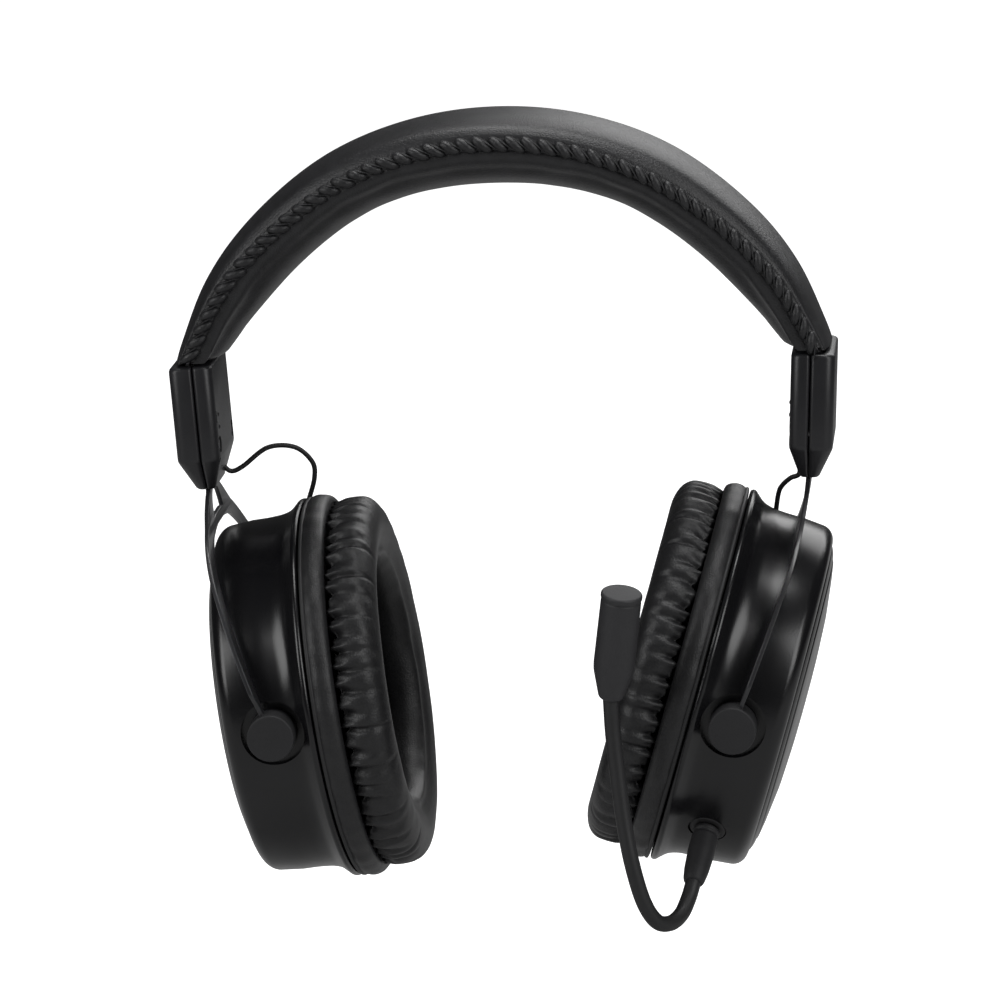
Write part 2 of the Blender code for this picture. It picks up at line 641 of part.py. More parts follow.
def main():
    global parts, helpers
    clear_scene()
    parts = collection("gaming_headset")
    helpers = collection("cutters", True)
    looks = {
        "leather": finish("pleated_leatherette", (0.02, 0.02, 0.022), 0.45),
        "band": finish("band_leatherette", (0.03, 0.03, 0.033), 0.5),
        "steel": finish("spring_steel", (0.55, 0.55, 0.57), 0.35, 1.0),
        "housing": finish("housing_plastic", (0.04, 0.04, 0.045), 0.45),
        "yoke": finish("painted_metal", (0.06, 0.06, 0.065), 0.45, 0.6),
        "shell": finish("satin_black_plastic", (0.012, 0.012, 0.015), 0.3),
        "cap": finish("cap_plastic", (0.012, 0.012, 0.014), 0.32),
        "baffle": finish("baffle_plastic", (0.02, 0.02, 0.02), 0.6),
        "driver": finish("driver_frame", (0.1, 0.1, 0.1), 0.5),
        "grille": finish("driver_grille", (0.05, 0.05, 0.05), 0.5, 0.5),
        "cloth": finish("scrim_cloth", (0.015, 0.015, 0.016), 0.9),
        "knob": finish("matte_black_plastic", (0.02, 0.02, 0.022), 0.6),
        "lead": finish("lead_jacket", (0.01, 0.01, 0.01), 0.5),
        "boom": finish("boom_rubber", (0.015, 0.015, 0.016), 0.6),
        "mic": finish("mic_plastic", (0.035, 0.035, 0.038), 0.6),
        "socket": finish("socket_plastic", (0.02, 0.02, 0.02), 0.5),
        "gold": finish("jack_metal", (0.8, 0.6, 0.25), 0.3, 1.0),
    }
    band_solid("headband_spring", looks["steel"], spring_section, SPRING_TAIL)
    band_solid("headband_cover", looks["band"], cover_section)
    band_solid("headband_pad", looks["band"], pad_section)
    for label, side in SIDES.items():
        frame, cup, shell = make_side(label, side, looks)
        make_leads(label, side, frame, looks["lead"])
        if label == "left":
            make_microphone(cup, shell, looks)
            make_cable_inlet(cup, shell, looks)


main()
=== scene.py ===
import json
import math

import bmesh
import bpy
import numpy as np
from mathutils import Matrix, Vector
from mathutils.bvhtree import BVHTree


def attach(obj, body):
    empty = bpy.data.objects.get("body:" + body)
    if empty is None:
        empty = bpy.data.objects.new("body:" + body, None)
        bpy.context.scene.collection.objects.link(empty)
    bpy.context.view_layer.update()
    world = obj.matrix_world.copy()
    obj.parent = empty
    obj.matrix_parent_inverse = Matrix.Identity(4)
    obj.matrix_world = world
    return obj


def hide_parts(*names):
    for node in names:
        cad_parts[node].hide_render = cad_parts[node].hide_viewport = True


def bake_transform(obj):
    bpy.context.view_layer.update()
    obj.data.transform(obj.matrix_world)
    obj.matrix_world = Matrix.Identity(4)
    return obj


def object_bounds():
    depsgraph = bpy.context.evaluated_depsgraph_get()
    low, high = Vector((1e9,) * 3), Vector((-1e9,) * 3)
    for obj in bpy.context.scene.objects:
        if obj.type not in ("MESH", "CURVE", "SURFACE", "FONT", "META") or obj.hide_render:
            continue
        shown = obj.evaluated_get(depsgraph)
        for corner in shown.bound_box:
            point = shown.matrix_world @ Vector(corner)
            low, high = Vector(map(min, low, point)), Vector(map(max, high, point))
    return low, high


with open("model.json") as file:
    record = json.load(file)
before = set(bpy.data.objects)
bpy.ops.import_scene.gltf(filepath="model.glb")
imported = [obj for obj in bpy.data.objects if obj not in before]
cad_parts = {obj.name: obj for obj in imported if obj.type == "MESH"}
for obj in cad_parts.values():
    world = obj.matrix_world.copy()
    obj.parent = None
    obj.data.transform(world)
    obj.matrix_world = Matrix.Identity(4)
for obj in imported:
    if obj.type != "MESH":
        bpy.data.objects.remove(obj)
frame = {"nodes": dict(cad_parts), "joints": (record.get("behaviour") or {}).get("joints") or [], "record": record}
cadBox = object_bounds()
nodes = frame["nodes"]
joints = {joint["name"]: joint for joint in frame["joints"]}
sides = {"right": -1, "left": 1}
print("frame loaded:", len(nodes), "nodes")


# Camera, light and floor

studio = {
    "azimuth": 5.3,
    "elevation": 11.3,
    "roll": 2.16,
    "distance": 1.511,
    "aim": (-0.0026, 0.0, -0.0824),
    "lens": 210.9,
    "floorDrop": 0.055,
    "floorReach": 14.0,
    "floorTone": 0.5,
    "floorGlow": 1.05,
    "ambient": 0.035,
    "lightAim": (0, 0, -0.09),
    "lights": {  # where it stands, width, height, power
        "overhead": ((0.1, 0.1, 0.95), 0.9, 0.35, 7),
        "leftStrip": ((-0.95, -0.8, 0.5), 0.6, 0.8, 6.5),
        "rightStrip": ((0.95, -0.8, 0.5), 0.6, 0.8, 6.5),
        "rearFill": ((0.4, 1.1, 0.6), 0.9, 0.7, 5),
    },
}


def makeCamera():
    azimuth, elevation = math.radians(studio["azimuth"]), math.radians(studio["elevation"])
    back = Vector((math.sin(azimuth) * math.cos(elevation), -math.cos(azimuth) * math.cos(elevation),
                   math.sin(elevation)))
    right = Vector((math.cos(azimuth), math.sin(azimuth), 0))
    up = back.cross(right)
    turn = Matrix((right, up, back)).transposed().to_4x4()
    data = bpy.data.cameras.new("camera")
    data.lens = studio["lens"]
    data.sensor_width = 36.0
    data.clip_end = 50
    camera = bpy.data.objects.new("camera", data)
    bpy.context.scene.collection.objects.link(camera)
    stand = Matrix.Translation(Vector(studio["aim"]) + back * studio["distance"])
    camera.matrix_world = stand @ turn @ Matrix.Rotation(-math.radians(studio["roll"]), 4, "Z")
    bpy.context.scene.camera = camera


def softbox(name, spot, aim, width, height, power):
    data = bpy.data.lights.new(name, "AREA")
    data.shape = "RECTANGLE"
    data.size, data.size_y = width, height
    data.energy = power
    lamp = bpy.data.objects.new(name, data)
    bpy.context.scene.collection.objects.link(lamp)
    lamp.location = spot
    lamp.rotation_euler = (Vector(aim) - Vector(spot)).to_track_quat("-Z", "Y").to_euler()


def makeStudio():
    for name, (spot, width, height, power) in studio["lights"].items():
        softbox(name, spot, studio["lightAim"], width, height, power)
    world = bpy.data.worlds.new("studio")
    world.use_nodes = True
    tree = world.node_tree
    seen = addNode(tree, "ShaderNodeLightPath").outputs["Is Camera Ray"]
    glow = addNode(tree, "ShaderNodeMath", {0: seen, 1: 1.0 - studio["ambient"], 2: studio["ambient"]},
                   operation="MULTIPLY_ADD")
    tree.nodes["Background"].inputs["Color"].default_value = (1, 1, 1, 1)
    tree.links.new(glow.outputs[0], tree.nodes["Background"].inputs["Strength"])
    bpy.context.scene.world = world
    bpy.context.scene.view_settings.view_transform = "Standard"


# Node helpers

def addNode(tree, kind, values=None, **settings):
    node = tree.nodes.new(kind)
    for name, value in settings.items():
        setattr(node, name, value)
    for name, value in (values or {}).items():
        socket = node.inputs[name]
        if isinstance(value, bpy.types.NodeSocket):
            tree.links.new(value, socket)
        else:
            socket.default_value = value
    return node


def newGroup(name, inputs, outputs, kind="ShaderNodeTree"):
    tree = bpy.data.node_groups.new(name, kind)
    for label, form, value in inputs:
        socket = tree.interface.new_socket(label, in_out="INPUT", socket_type=form)
        if value is not None:
            socket.default_value = value
    for label, form in outputs:
        tree.interface.new_socket(label, in_out="OUTPUT", socket_type=form)
    return tree, tree.nodes.new("NodeGroupInput"), tree.nodes.new("NodeGroupOutput")


def mathNode(tree, operation, one, other=0.0):
    return addNode(tree, "ShaderNodeMath", {0: one, 1: other}, operation=operation).outputs[0]


def leatherGrain():  # small pebbles broken by fine creases
    tree, given, out = newGroup("leatherGrain", [
        ("Vector", "NodeSocketVector", None), ("Pebble Scale", "NodeSocketFloat", 1100.0),
        ("Crease Scale", "NodeSocketFloat", 260.0), ("Crease Depth", "NodeSocketFloat", 0.35)],
        [("Height", "NodeSocketFloat"), ("Shade", "NodeSocketFloat")])
    drift = addNode(tree, "ShaderNodeTexNoise", {"Vector": given.outputs["Vector"],
                                                 "Scale": given.outputs["Crease Scale"],
                                                 "Detail": 3.0, "Roughness": 0.55})
    shift = addNode(tree, "ShaderNodeVectorMath", {0: drift.outputs["Color"], "Scale": 0.0006},
                    operation="SCALE")
    moved = addNode(tree, "ShaderNodeVectorMath", {0: given.outputs["Vector"], 1: shift.outputs[0]},
                    operation="ADD")
    cells = addNode(tree, "ShaderNodeTexVoronoi", {"Vector": moved.outputs[0],
                                                   "Scale": given.outputs["Pebble Scale"]},
                    feature="DISTANCE_TO_EDGE")
    pebble = mathNode(tree, "MINIMUM", mathNode(tree, "MULTIPLY", cells.outputs["Distance"], 4.0), 1.0)
    crease = mathNode(tree, "MULTIPLY", drift.outputs["Fac"], given.outputs["Crease Depth"])
    tree.links.new(mathNode(tree, "ADD", pebble, crease), out.inputs["Height"])
    tree.links.new(drift.outputs["Fac"], out.inputs["Shade"])
    return tree


def mouldTexture():  # the fine spark texture and faint smudges of a moulding
    tree, given, out = newGroup("mouldTexture", [
        ("Vector", "NodeSocketVector", None), ("Spark Scale", "NodeSocketFloat", 2600.0),
        ("Smudge Scale", "NodeSocketFloat", 45.0), ("Roughness", "NodeSocketFloat", 0.4),
        ("Smudge", "NodeSocketFloat", 0.08)],
        [("Height", "NodeSocketFloat"), ("Roughness", "NodeSocketFloat"), ("Shade", "NodeSocketFloat")])
    spark = addNode(tree, "ShaderNodeTexNoise", {"Vector": given.outputs["Vector"],
                                                 "Scale": given.outputs["Spark Scale"],
                                                 "Detail": 2.0})
    smudge = addNode(tree, "ShaderNodeTexNoise", {"Vector": given.outputs["Vector"],
                                                  "Scale": given.outputs["Smudge Scale"],
                                                  "Detail": 4.0, "Roughness": 0.6})
    centred = mathNode(tree, "SUBTRACT", smudge.outputs["Fac"], 0.5)
    change = mathNode(tree, "MULTIPLY", centred, given.outputs["Smudge"])
    tree.links.new(mathNode(tree, "ADD", given.outputs["Roughness"], change), out.inputs["Roughness"])
    tree.links.new(spark.outputs["Fac"], out.inputs["Height"])
    tree.links.new(smudge.outputs["Fac"], out.inputs["Shade"])
    return tree


def clothWeave():  # crossing threads in two directions
    tree, given, out = newGroup("clothWeave", [
        ("Vector", "NodeSocketVector", None), ("Thread Scale", "NodeSocketFloat", 1500.0)],
        [("Height", "NodeSocketFloat"), ("Shade", "NodeSocketFloat")])
    split = addNode(tree, "ShaderNodeSeparateXYZ", {"Vector": given.outputs["Vector"]})
    waves = []
    for axis in ("Y", "Z"):
        turns = mathNode(tree, "MULTIPLY", split.outputs[axis], given.outputs["Thread Scale"])
        waves.append(mathNode(tree, "ABSOLUTE", mathNode(tree, "SINE", turns)))
    tree.links.new(mathNode(tree, "MAXIMUM", *waves), out.inputs["Height"])
    tree.links.new(mathNode(tree, "MULTIPLY", *waves), out.inputs["Shade"])
    return tree


groups = {"leather": leatherGrain(), "mould": mouldTexture(), "weave": clothWeave()}

finishes = {
    "bandLeather": {"group": "leather", "low": (0.011, 0.011, 0.012), "high": (0.018, 0.018, 0.020),
                    "roughness": 0.43,
                    "bump": 0.000035, "set": {"Pebble Scale": 1250.0, "Crease Scale": 230.0}, "coat": 0.0},
    "cushionLeather": {"group": "leather", "low": (0.009, 0.009, 0.010), "high": (0.015, 0.015, 0.016),
                       "roughness": 0.45,
                       "bump": 0.00003, "set": {"Pebble Scale": 1400.0, "Crease Scale": 420.0}, "coat": 0.0},
    "thread": {"group": "leather", "low": (0.015, 0.015, 0.016), "high": (0.026, 0.026, 0.028),
               "roughness": 0.5,
               "bump": 0.00004, "set": {"Pebble Scale": 3600.0, "Crease Scale": 900.0}, "coat": 0.0},
    "shellSatin": {"group": "mould", "low": (0.004, 0.004, 0.005), "high": (0.007, 0.007, 0.008),
                   "roughness": 0.25,
                   "bump": 0.000012, "set": {"Smudge": 0.07}, "coat": 0.0},
    "housingSatin": {"group": "mould", "low": (0.012, 0.012, 0.014), "high": (0.019, 0.019, 0.021),
                     "roughness": 0.40,
                     "bump": 0.00002, "set": {"Smudge": 0.1}, "coat": 0.0},
    "matteBlack": {"group": "mould", "low": (0.011, 0.011, 0.012), "high": (0.017, 0.017, 0.019),
                   "roughness": 0.6,
                   "bump": 0.00003, "set": {"Spark Scale": 2100.0}, "coat": 0.0},
    "micMatte": {"group": "mould", "low": (0.022, 0.022, 0.024), "high": (0.032, 0.032, 0.035),
                 "roughness": 0.58,
                 "bump": 0.00003, "set": {"Spark Scale": 2100.0}, "coat": 0.0},
    "sleeveRubber": {"group": "mould", "low": (0.011, 0.011, 0.012), "high": (0.018, 0.018, 0.019),
                     "roughness": 0.5,
                     "bump": 0.00003, "set": {"Spark Scale": 1500.0}, "coat": 0.0},
    "yokePaint": {"group": "mould", "low": (0.016, 0.016, 0.018), "high": (0.024, 0.024, 0.027),
                  "roughness": 0.38,
                  "bump": 0.00003, "set": {"Spark Scale": 1700.0, "Smudge": 0.12}, "coat": 0.3},
    "scrimWeave": {"group": "weave", "low": (0.002, 0.002, 0.002), "high": (0.010, 0.010, 0.011),
                   "roughness": 0.85,
                   "bump": 0.0001, "set": {}, "coat": 0.0},
    "springSteel": {"group": "mould", "low": (0.48, 0.48, 0.50), "high": (0.58, 0.58, 0.60),
                    "roughness": 0.32,
                    "bump": 0.00001, "set": {}, "coat": 0.0, "metallic": 1.0},
    "platedPin": {"group": "mould", "low": (0.75, 0.55, 0.22), "high": (0.85, 0.65, 0.28), "roughness": 0.22,
                  "bump": 0.00001, "set": {}, "coat": 0.0, "metallic": 1.0},
    "darkMoulding": {"group": "mould", "low": (0.012, 0.012, 0.013), "high": (0.020, 0.020, 0.021),
                     "roughness": 0.55,
                     "bump": 0.00003, "set": {}, "coat": 0.0},
}


def makeFinish(name):
    spec = finishes[name]
    made = bpy.data.materials.new(name)
    made.use_nodes = True
    tree = made.node_tree
    shader = tree.nodes["Principled BSDF"]
    spot = addNode(tree, "ShaderNodeTexCoord").outputs["Object"]
    texture = addNode(tree, "ShaderNodeGroup", node_tree=groups[spec["group"]])
    tree.links.new(spot, texture.inputs["Vector"])
    for label, value in spec["set"].items():
        texture.inputs[label].default_value = value
    tone = tree.nodes.new("ShaderNodeValToRGB")
    tree.links.new(texture.outputs["Shade"], tone.inputs["Fac"])
    tone.color_ramp.elements[0].position = 0.3
    tone.color_ramp.elements[0].color = (*spec["low"], 1)
    tone.color_ramp.elements[1].position = 0.7
    tone.color_ramp.elements[1].color = (*spec["high"], 1)
    tree.links.new(tone.outputs["Color"], shader.inputs["Base Color"])
    if "Roughness" in texture.outputs:
        texture.inputs["Roughness"].default_value = spec["roughness"]
        tree.links.new(texture.outputs["Roughness"], shader.inputs["Roughness"])
    else:
        shader.inputs["Roughness"].default_value = spec["roughness"]
    shader.inputs["Metallic"].default_value = spec.get("metallic", 0.0)
    shader.inputs["Coat Weight"].default_value = spec["coat"]
    bump = addNode(tree, "ShaderNodeBump", {"Height": texture.outputs["Height"], "Distance": spec["bump"],
                                            "Strength": 1.0})
    tree.links.new(bump.outputs["Normal"], shader.inputs["Normal"])
    return made


looks = {name: makeFinish(name) for name in finishes}
print("finishes made:", len(looks))


# Mesh helpers: every size below is in millimetres until a piece is made

mm = 0.001


def addPiece(name, points, faces, look, smooth=True, sharp=40):
    mesh = bpy.data.meshes.new(name)
    mesh.from_pydata([Vector(p) * mm for p in points], [], [list(f) for f in faces])
    return finishMesh(name, mesh, look, smooth, sharp)


def finishMesh(name, mesh, look, smooth=True, sharp=40):
    bm = bmesh.new()
    bm.from_mesh(mesh)
    bmesh.ops.remove_doubles(bm, verts=bm.verts, dist=0.000001)
    bmesh.ops.recalc_face_normals(bm, faces=bm.faces)
    bm.to_mesh(mesh)
    bm.free()
    mesh.materials.clear()
    mesh.materials.append(looks[look])
    if smooth:
        mesh.shade_smooth()
        mesh.set_sharp_from_angle(angle=math.radians(sharp))
    obj = bpy.data.objects.new(name, mesh)
    bpy.context.scene.collection.objects.link(obj)
    return obj


def settle(obj, look, sharp=40):  # turns the evaluated shape into a plain mesh with no modifier
    bpy.context.view_layer.update()
    graph = bpy.context.evaluated_depsgraph_get()
    mesh = bpy.data.meshes.new_from_object(obj.evaluated_get(graph))
    name = obj.name
    old = obj.data
    bpy.data.objects.remove(obj)
    if isinstance(old, bpy.types.Mesh) and not old.users:
        bpy.data.meshes.remove(old)
    mesh.name = name
    return finishMesh(name, mesh, look, True, sharp)


# evenly spaced points on a smooth curve through the given ones
def smoothLine(points, count, start=0.0, end=1.0):
    base = np.array(points, float)
    padded = np.vstack([2 * base[0] - base[1], base, 2 * base[-1] - base[-2]])
    fine = []
    for a, b, c, d in zip(padded, padded[1:], padded[2:], padded[3:]):
        for t in np.linspace(0, 1, 24, endpoint=False):
            curl = (2 * a - 5 * b + 4 * c - d) * t**2 + (3 * b - a - 3 * c + d) * t**3
            fine.append(0.5 * (2 * b + (c - a) * t + curl))
    fine = np.array(fine + [base[-1]])
    run = np.concatenate([[0], np.cumsum(np.linalg.norm(np.diff(fine, axis=0), axis=1))])
    wanted = np.linspace(start * run[-1], end * run[-1], count)
    return np.column_stack([np.interp(wanted, run, fine[:, k]) for k in range(base.shape[1])])


def roundCorners(profile, radius, count=4, closed=True):  # eases the corners of a turned profile
    made = []
    points = [np.array(p, float) for p in profile]
    for i, corner in enumerate(points):
        if not closed and i in (0, len(points) - 1):
            made.append(corner)
            continue
        before, after = points[i - 1] - corner, points[(i + 1) % len(points)] - corner
        near = min(radius, np.linalg.norm(before) * 0.45, np.linalg.norm(after) * 0.45)
        one = corner + before / np.linalg.norm(before) * near
        other = corner + after / np.linalg.norm(after) * near
        for t in np.linspace(0, 1, count + 1):
            made.append((1 - t) ** 2 * one + 2 * t * (1 - t) * corner + t**2 * other)
    return made


def loftFaces(rows, count):  # the sides and both ends of a form made of rings
    faces = []
    for i in range(rows - 1):
        for k in range(count):
            m = (k + 1) % count
            faces.append((i * count + k, i * count + m, (i + 1) * count + m, (i + 1) * count + k))
    return faces + [tuple(range(count)), tuple((rows - 1) * count + k for k in range(count))]


def wheelFaces(steps, count, closed=True):  # the skin between profiles that stand round an axis
    faces = []
    for i in range(steps):
        j = (i + 1) % steps
        for k in range(count if closed else count - 1):
            m = (k + 1) % count
            faces.append((i * count + k, j * count + k, j * count + m, i * count + m))
    return faces


def turnProfile(profile, steps, closed=True):  # points and faces of a solid turned about the third axis
    points = [(r * math.cos(a), r * math.sin(a), z) for a in np.linspace(0, 2 * math.pi, steps,
                                                                         endpoint=False)
              for r, z in profile]
    return points, wheelFaces(steps, len(profile), closed)


# Where the cups stand, from the record's hinges

cup = {
    "tilt": {"left": 16.8, "right": 7.4},
    "steps": 160,
}


def cupFrame(side):  # third axis outward, in millimetres
    pivot = Vector(joints[side + "_tilt"]["pos_m"]) / mm
    lean = Matrix.Rotation(math.radians(sides[side] * cup["tilt"][side]), 4, "Y")
    return Matrix.Translation(pivot) @ lean @ Matrix.Rotation(math.radians(90 * sides[side]), 4, "Y")


def yokeFrame(side):
    return Matrix.Translation(Vector(joints[side + "_tilt"]["pos_m"]) / mm)


def inPlace(points, matrix):
    return [matrix @ Vector(p) for p in points]


def turnedPiece(name, profile, matrix, look, steps=None, closed=True, ease=0.0, sharp=40):
    if ease:
        profile = roundCorners(profile, ease, 4, closed)
    points, faces = turnProfile(profile, steps or cup["steps"], closed)
    return addPiece(name, inPlace(points, matrix), faces, look, True, sharp)


# a solid cylinder along a frame's Y axis
def rod(name, radius, start, end, matrix, look, steps=64, ease=0.0):
    low, high = sorted((start, end))
    profile = [(0, high), (radius, high), (radius, low), (0, low)]
    across = matrix @ Matrix.Rotation(math.radians(-90), 4, "X")
    return turnedPiece(name, profile, across, look, steps, False, ease)


def carve(obj, cutters, look, joins=(), sharp=40):
    for other, operation in [(o, "UNION") for o in joins] + [(o, "DIFFERENCE") for o in cutters]:
        change = obj.modifiers.new(operation.lower(), "BOOLEAN")
        change.operation = operation
        change.solver = "EXACT"
        change.object = other
    made = settle(obj, look, sharp)
    for other in [*cutters, *joins]:
        bpy.data.objects.remove(other)
    return made


def place(obj, body, slot, *replaced):  # rides on a body and stands for CAD nodes, which it hides; the record slot is not used
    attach(obj, body)
    if replaced:
        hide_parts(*replaced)
    return obj


def tubeMesh(name, line, radius, look, around=16, taper=None):
    line = np.array(line, float)
    ahead = np.gradient(line, axis=0)
    ahead /= np.linalg.norm(ahead, axis=1)[:, None]
    across = np.cross(ahead[0], (0.3, 0.1, 1.0))
    points = []
    for i, (spot, way) in enumerate(zip(line, ahead)):
        across = across - way * (across @ way)
        across /= np.linalg.norm(across)
        other = np.cross(way, across)
        wide = radius * (taper(i / (len(line) - 1)) if taper else 1.0)
        for a in np.linspace(0, 2 * math.pi, around, endpoint=False):
            points.append(spot + (across * math.cos(a) + other * math.sin(a)) * wide)
    return addPiece(name, points, loftFaces(len(line), around), look)


# Cups: turned shells, recessed for the pivot knobs

shell = {
    "radius": 45.9,
    "wall": 2.0,
    "flare": 49.6,
    "pocketRadius": 8.3,
    "pocketFloor": 43.2,
    "boreRadius": 1.8,
    "jackAngle": 42.0,
    "jackAxial": 0.9,
    "inletAngle": 62.0,
    "seatRadius": 45.2,
}


def shellProfile():
    corner = [(shell["radius"] - 4.3 + 3.8 * math.cos(a),
               9.2 + 3.8 * math.sin(a)) for a in np.radians(np.linspace(84, 8, 12))]
    flank = [(shell["radius"], 0.0), (shell["radius"] + 0.3, -4.2), (47.0, -6.8), (48.6, -8.6), (49.4, -9.4),
             (shell["flare"], -10.1), (49.2, -10.9), (44.6, -10.9)]
    inside = shell["radius"] - shell["wall"]
    return corner + roundCorners([(45.9, 4.0), *flank, (inside, -4.0), (inside - 0.3, 5.0), (41.5, 10.6)],
                                 1.3, 4, False)


def seatMatrix(axial, angle, back):  # third axis out of the shell's flank, low at the front or the rear
    way = Vector((0, back * math.cos(math.radians(angle)), -math.sin(math.radians(angle))))
    turn = way.to_track_quat("Z", "X").to_matrix().to_4x4()
    return Matrix.Translation(Vector((axial, 0, 0)) + way * shell["seatRadius"]) @ turn


def tiltedFrame(side):  # the cup's own frame with its axes still along the row's
    return yokeFrame(side) @ Matrix.Rotation(math.radians(sides[side] * cup["tilt"][side]), 4, "Y")


def makeShell(side):
    matrix = cupFrame(side)
    body = turnedPiece(side + "CupShell", shellProfile(), matrix, "shellSatin")
    joins, cutters = [], []
    for way in (-1, 1):
        joins.append(rod("boss", shell["pocketRadius"] + 2.0, way * 39.5, way * 44.6, matrix, "shellSatin"))
        cutters.append(rod("pocket", shell["pocketRadius"], way * shell["pocketFloor"], way * 60, matrix,
                           "shellSatin", 96))
        cutters.append(rod("bore", shell["boreRadius"], way * 30, way * 50, matrix, "shellSatin", 32))
    if side == "left":
        tilted = tiltedFrame(side)
        for angle, back, axial in ((shell["jackAngle"], -1, shell["jackAxial"]),
                                   (shell["inletAngle"], 1, 0.0)):
            seat = tilted @ seatMatrix(axial, angle, back)
            cutters.append(turnedPiece("hole", [(0, 8), (4.9, 8), (4.9, -10), (0, -10)], seat, "shellSatin",
                                       48, False))
    body = carve(body, cutters, "shellSatin", joins, 32)
    place(body, side + "_cup", "satin_black_plastic", side + "_cup_shell")


def makeCap(side):  # a shallow dome with a dished middle, on a rim that drops inside the shell
    rim = [(0.0, 16.0), (13.2, 16.0), (14.0, 16.7), (15.2, 16.8), (24.0, 16.3), (33.0, 15.2), (37.2, 14.5),
           (37.8, 13.9),
           (38.4, 14.1), (39.2, 13.9), (40.9, 13.2), (40.9, 11.6), (40.5, 11.0), (36.0, 11.0), (20.0, 13.4),
           (0.0, 13.8)]
    cap = turnedPiece(side + "OuterCap", rim, cupFrame(side), "shellSatin", None, False, 0.6)
    place(cap, side + "_cup", "cap_plastic", side + "_outer_cap")


def makeBaffle(side):  # the moulded ring behind the cushion, with a step the skirt is tucked into
    ring = [(48.6, -11.2), (49.7, -11.5), (49.7, -12.2), (48.9, -12.7), (48.6, -16.9), (46.4, -17.2),
            (21.6, -17.2),
            (21.6, -15.0), (43.5, -15.0), (43.5, -11.2)]
    baffle = turnedPiece(side + "Baffle", ring, cupFrame(side), "darkMoulding", None, True, 0.35)
    place(baffle, side + "_cup", "baffle_plastic", side + "_baffle")


# Cushions: foam in a gathered skin, swelled by a short cloth simulation

cushion = {
    "radius": 49.3,
    "earRadius": 30.0,
    "seat": -17.5,
    "face": -30.6,
    "around": 900,
    "pleats": 58,
    "pleatDepth": 0.0017,
    "gatherDepth": 0.0005,
    "unevenness": 0.42,
    "voxel": 0.0045,
    "pressure": 4.0,
    "shrink": 0.3,
    "mostSwell": 1.5,
    "frames": 20,
    "reach": 3.0,
    "softening": (60, 14),
    "seed": 4,
}


# (radius, outward) from the seam at the skirt, over the face, to the ear opening's back
def cushionOutline(shrink=0.0):
    outer = [(48.0, cushion["seat"] + 0.1), (48.5, -18.6), (cushion["radius"] - 0.1, -20.6),
             (cushion["radius"], -23.0),
             (48.6, -26.2), (46.6, -28.7), (43.6, -30.2), (40.4, cushion["face"]), (37.2, -29.7),
             (34.8, -28.7),
             (32.6, -28.8), (31.0, -27.2), (cushion["earRadius"], -24.2), (cushion["earRadius"] + 0.3, -20.6),
             (31.4, cushion["seat"] - 0.2)]
    middle = np.array((39.8, -23.6))
    points = np.array(outer)
    if shrink:
        inward = middle - points
        points = points + inward / np.linalg.norm(inward, axis=1)[:, None] * shrink
    return points


def puffed(points, faces, pinned, settings):  # a swelled copy of a closed form, as a tree to measure against
    mesh = bpy.data.meshes.new("foam")
    mesh.from_pydata([Vector(p) * mm for p in points], [], [list(f) for f in faces])
    foam = finishMesh("foam", mesh, "cushionLeather")
    remesh = foam.modifiers.new("remesh", "REMESH")
    remesh.mode = "VOXEL"
    remesh.voxel_size = settings["voxel"]
    foam = settle(foam, "cushionLeather")
    rest = np.array([v.co for v in foam.data.vertices])
    held = foam.vertex_groups.new(name="held")
    for index, spot in enumerate(rest):
        if pinned(spot / mm):
            held.add([index], 1.0, "REPLACE")
    cloth = foam.modifiers.new("cloth", "CLOTH")
    cloth.settings.vertex_group_mass = "held"
    cloth.settings.use_pressure = True
    cloth.settings.uniform_pressure_force = settings["pressure"]
    cloth.settings.effector_weights.gravity = 0.0
    cloth.settings.quality = 6
    cloth.point_cache.frame_end = settings["frames"]
    for step in range(1, settings["frames"] + 1):
        bpy.context.scene.frame_set(step)
    bpy.context.view_layer.update()
    evaluated = foam.evaluated_get(bpy.context.evaluated_depsgraph_get())
    swelled = np.array([v.co for v in evaluated.data.vertices])
    move = swelled - rest
    size = np.maximum(np.linalg.norm(move, axis=1), 1e-9)
    move *= np.minimum(1, settings["mostSwell"] * mm / size)[:, None]
    ends = [list(p.vertices) for p in foam.data.polygons]
    tree = BVHTree.FromPolygons([Vector(p) for p in rest + move], ends)
    print("  swelled", len(rest), "points, most", round(float(size.max() / mm), 2), "mm")
    bpy.data.objects.remove(foam)
    bpy.context.scene.frame_set(1)
    return tree


# moves each point out to the swelled form's skin, softened
def ontoFoam(points, normals, tree, rows, settings):
    points, normals = np.array(points), np.array(normals)
    if not tree:
        return points
    reach, gaps = settings["reach"], []
    for spot, way in zip(points, normals):
        start = Vector((spot - way * reach) * mm)
        hit = tree.ray_cast(start, Vector(way), 2.2 * reach * mm)[0]
        gaps.append((hit - start).length / mm - reach if hit else 0.0)
    gaps = np.array(gaps).reshape(rows, -1)
    for axis, passes in enumerate(settings["softening"]):
        for _ in range(passes):
            gaps = (np.roll(gaps, 1, axis) + 2 * gaps + np.roll(gaps, -1, axis)) / 4
    return points + normals * gaps.reshape(-1, 1)


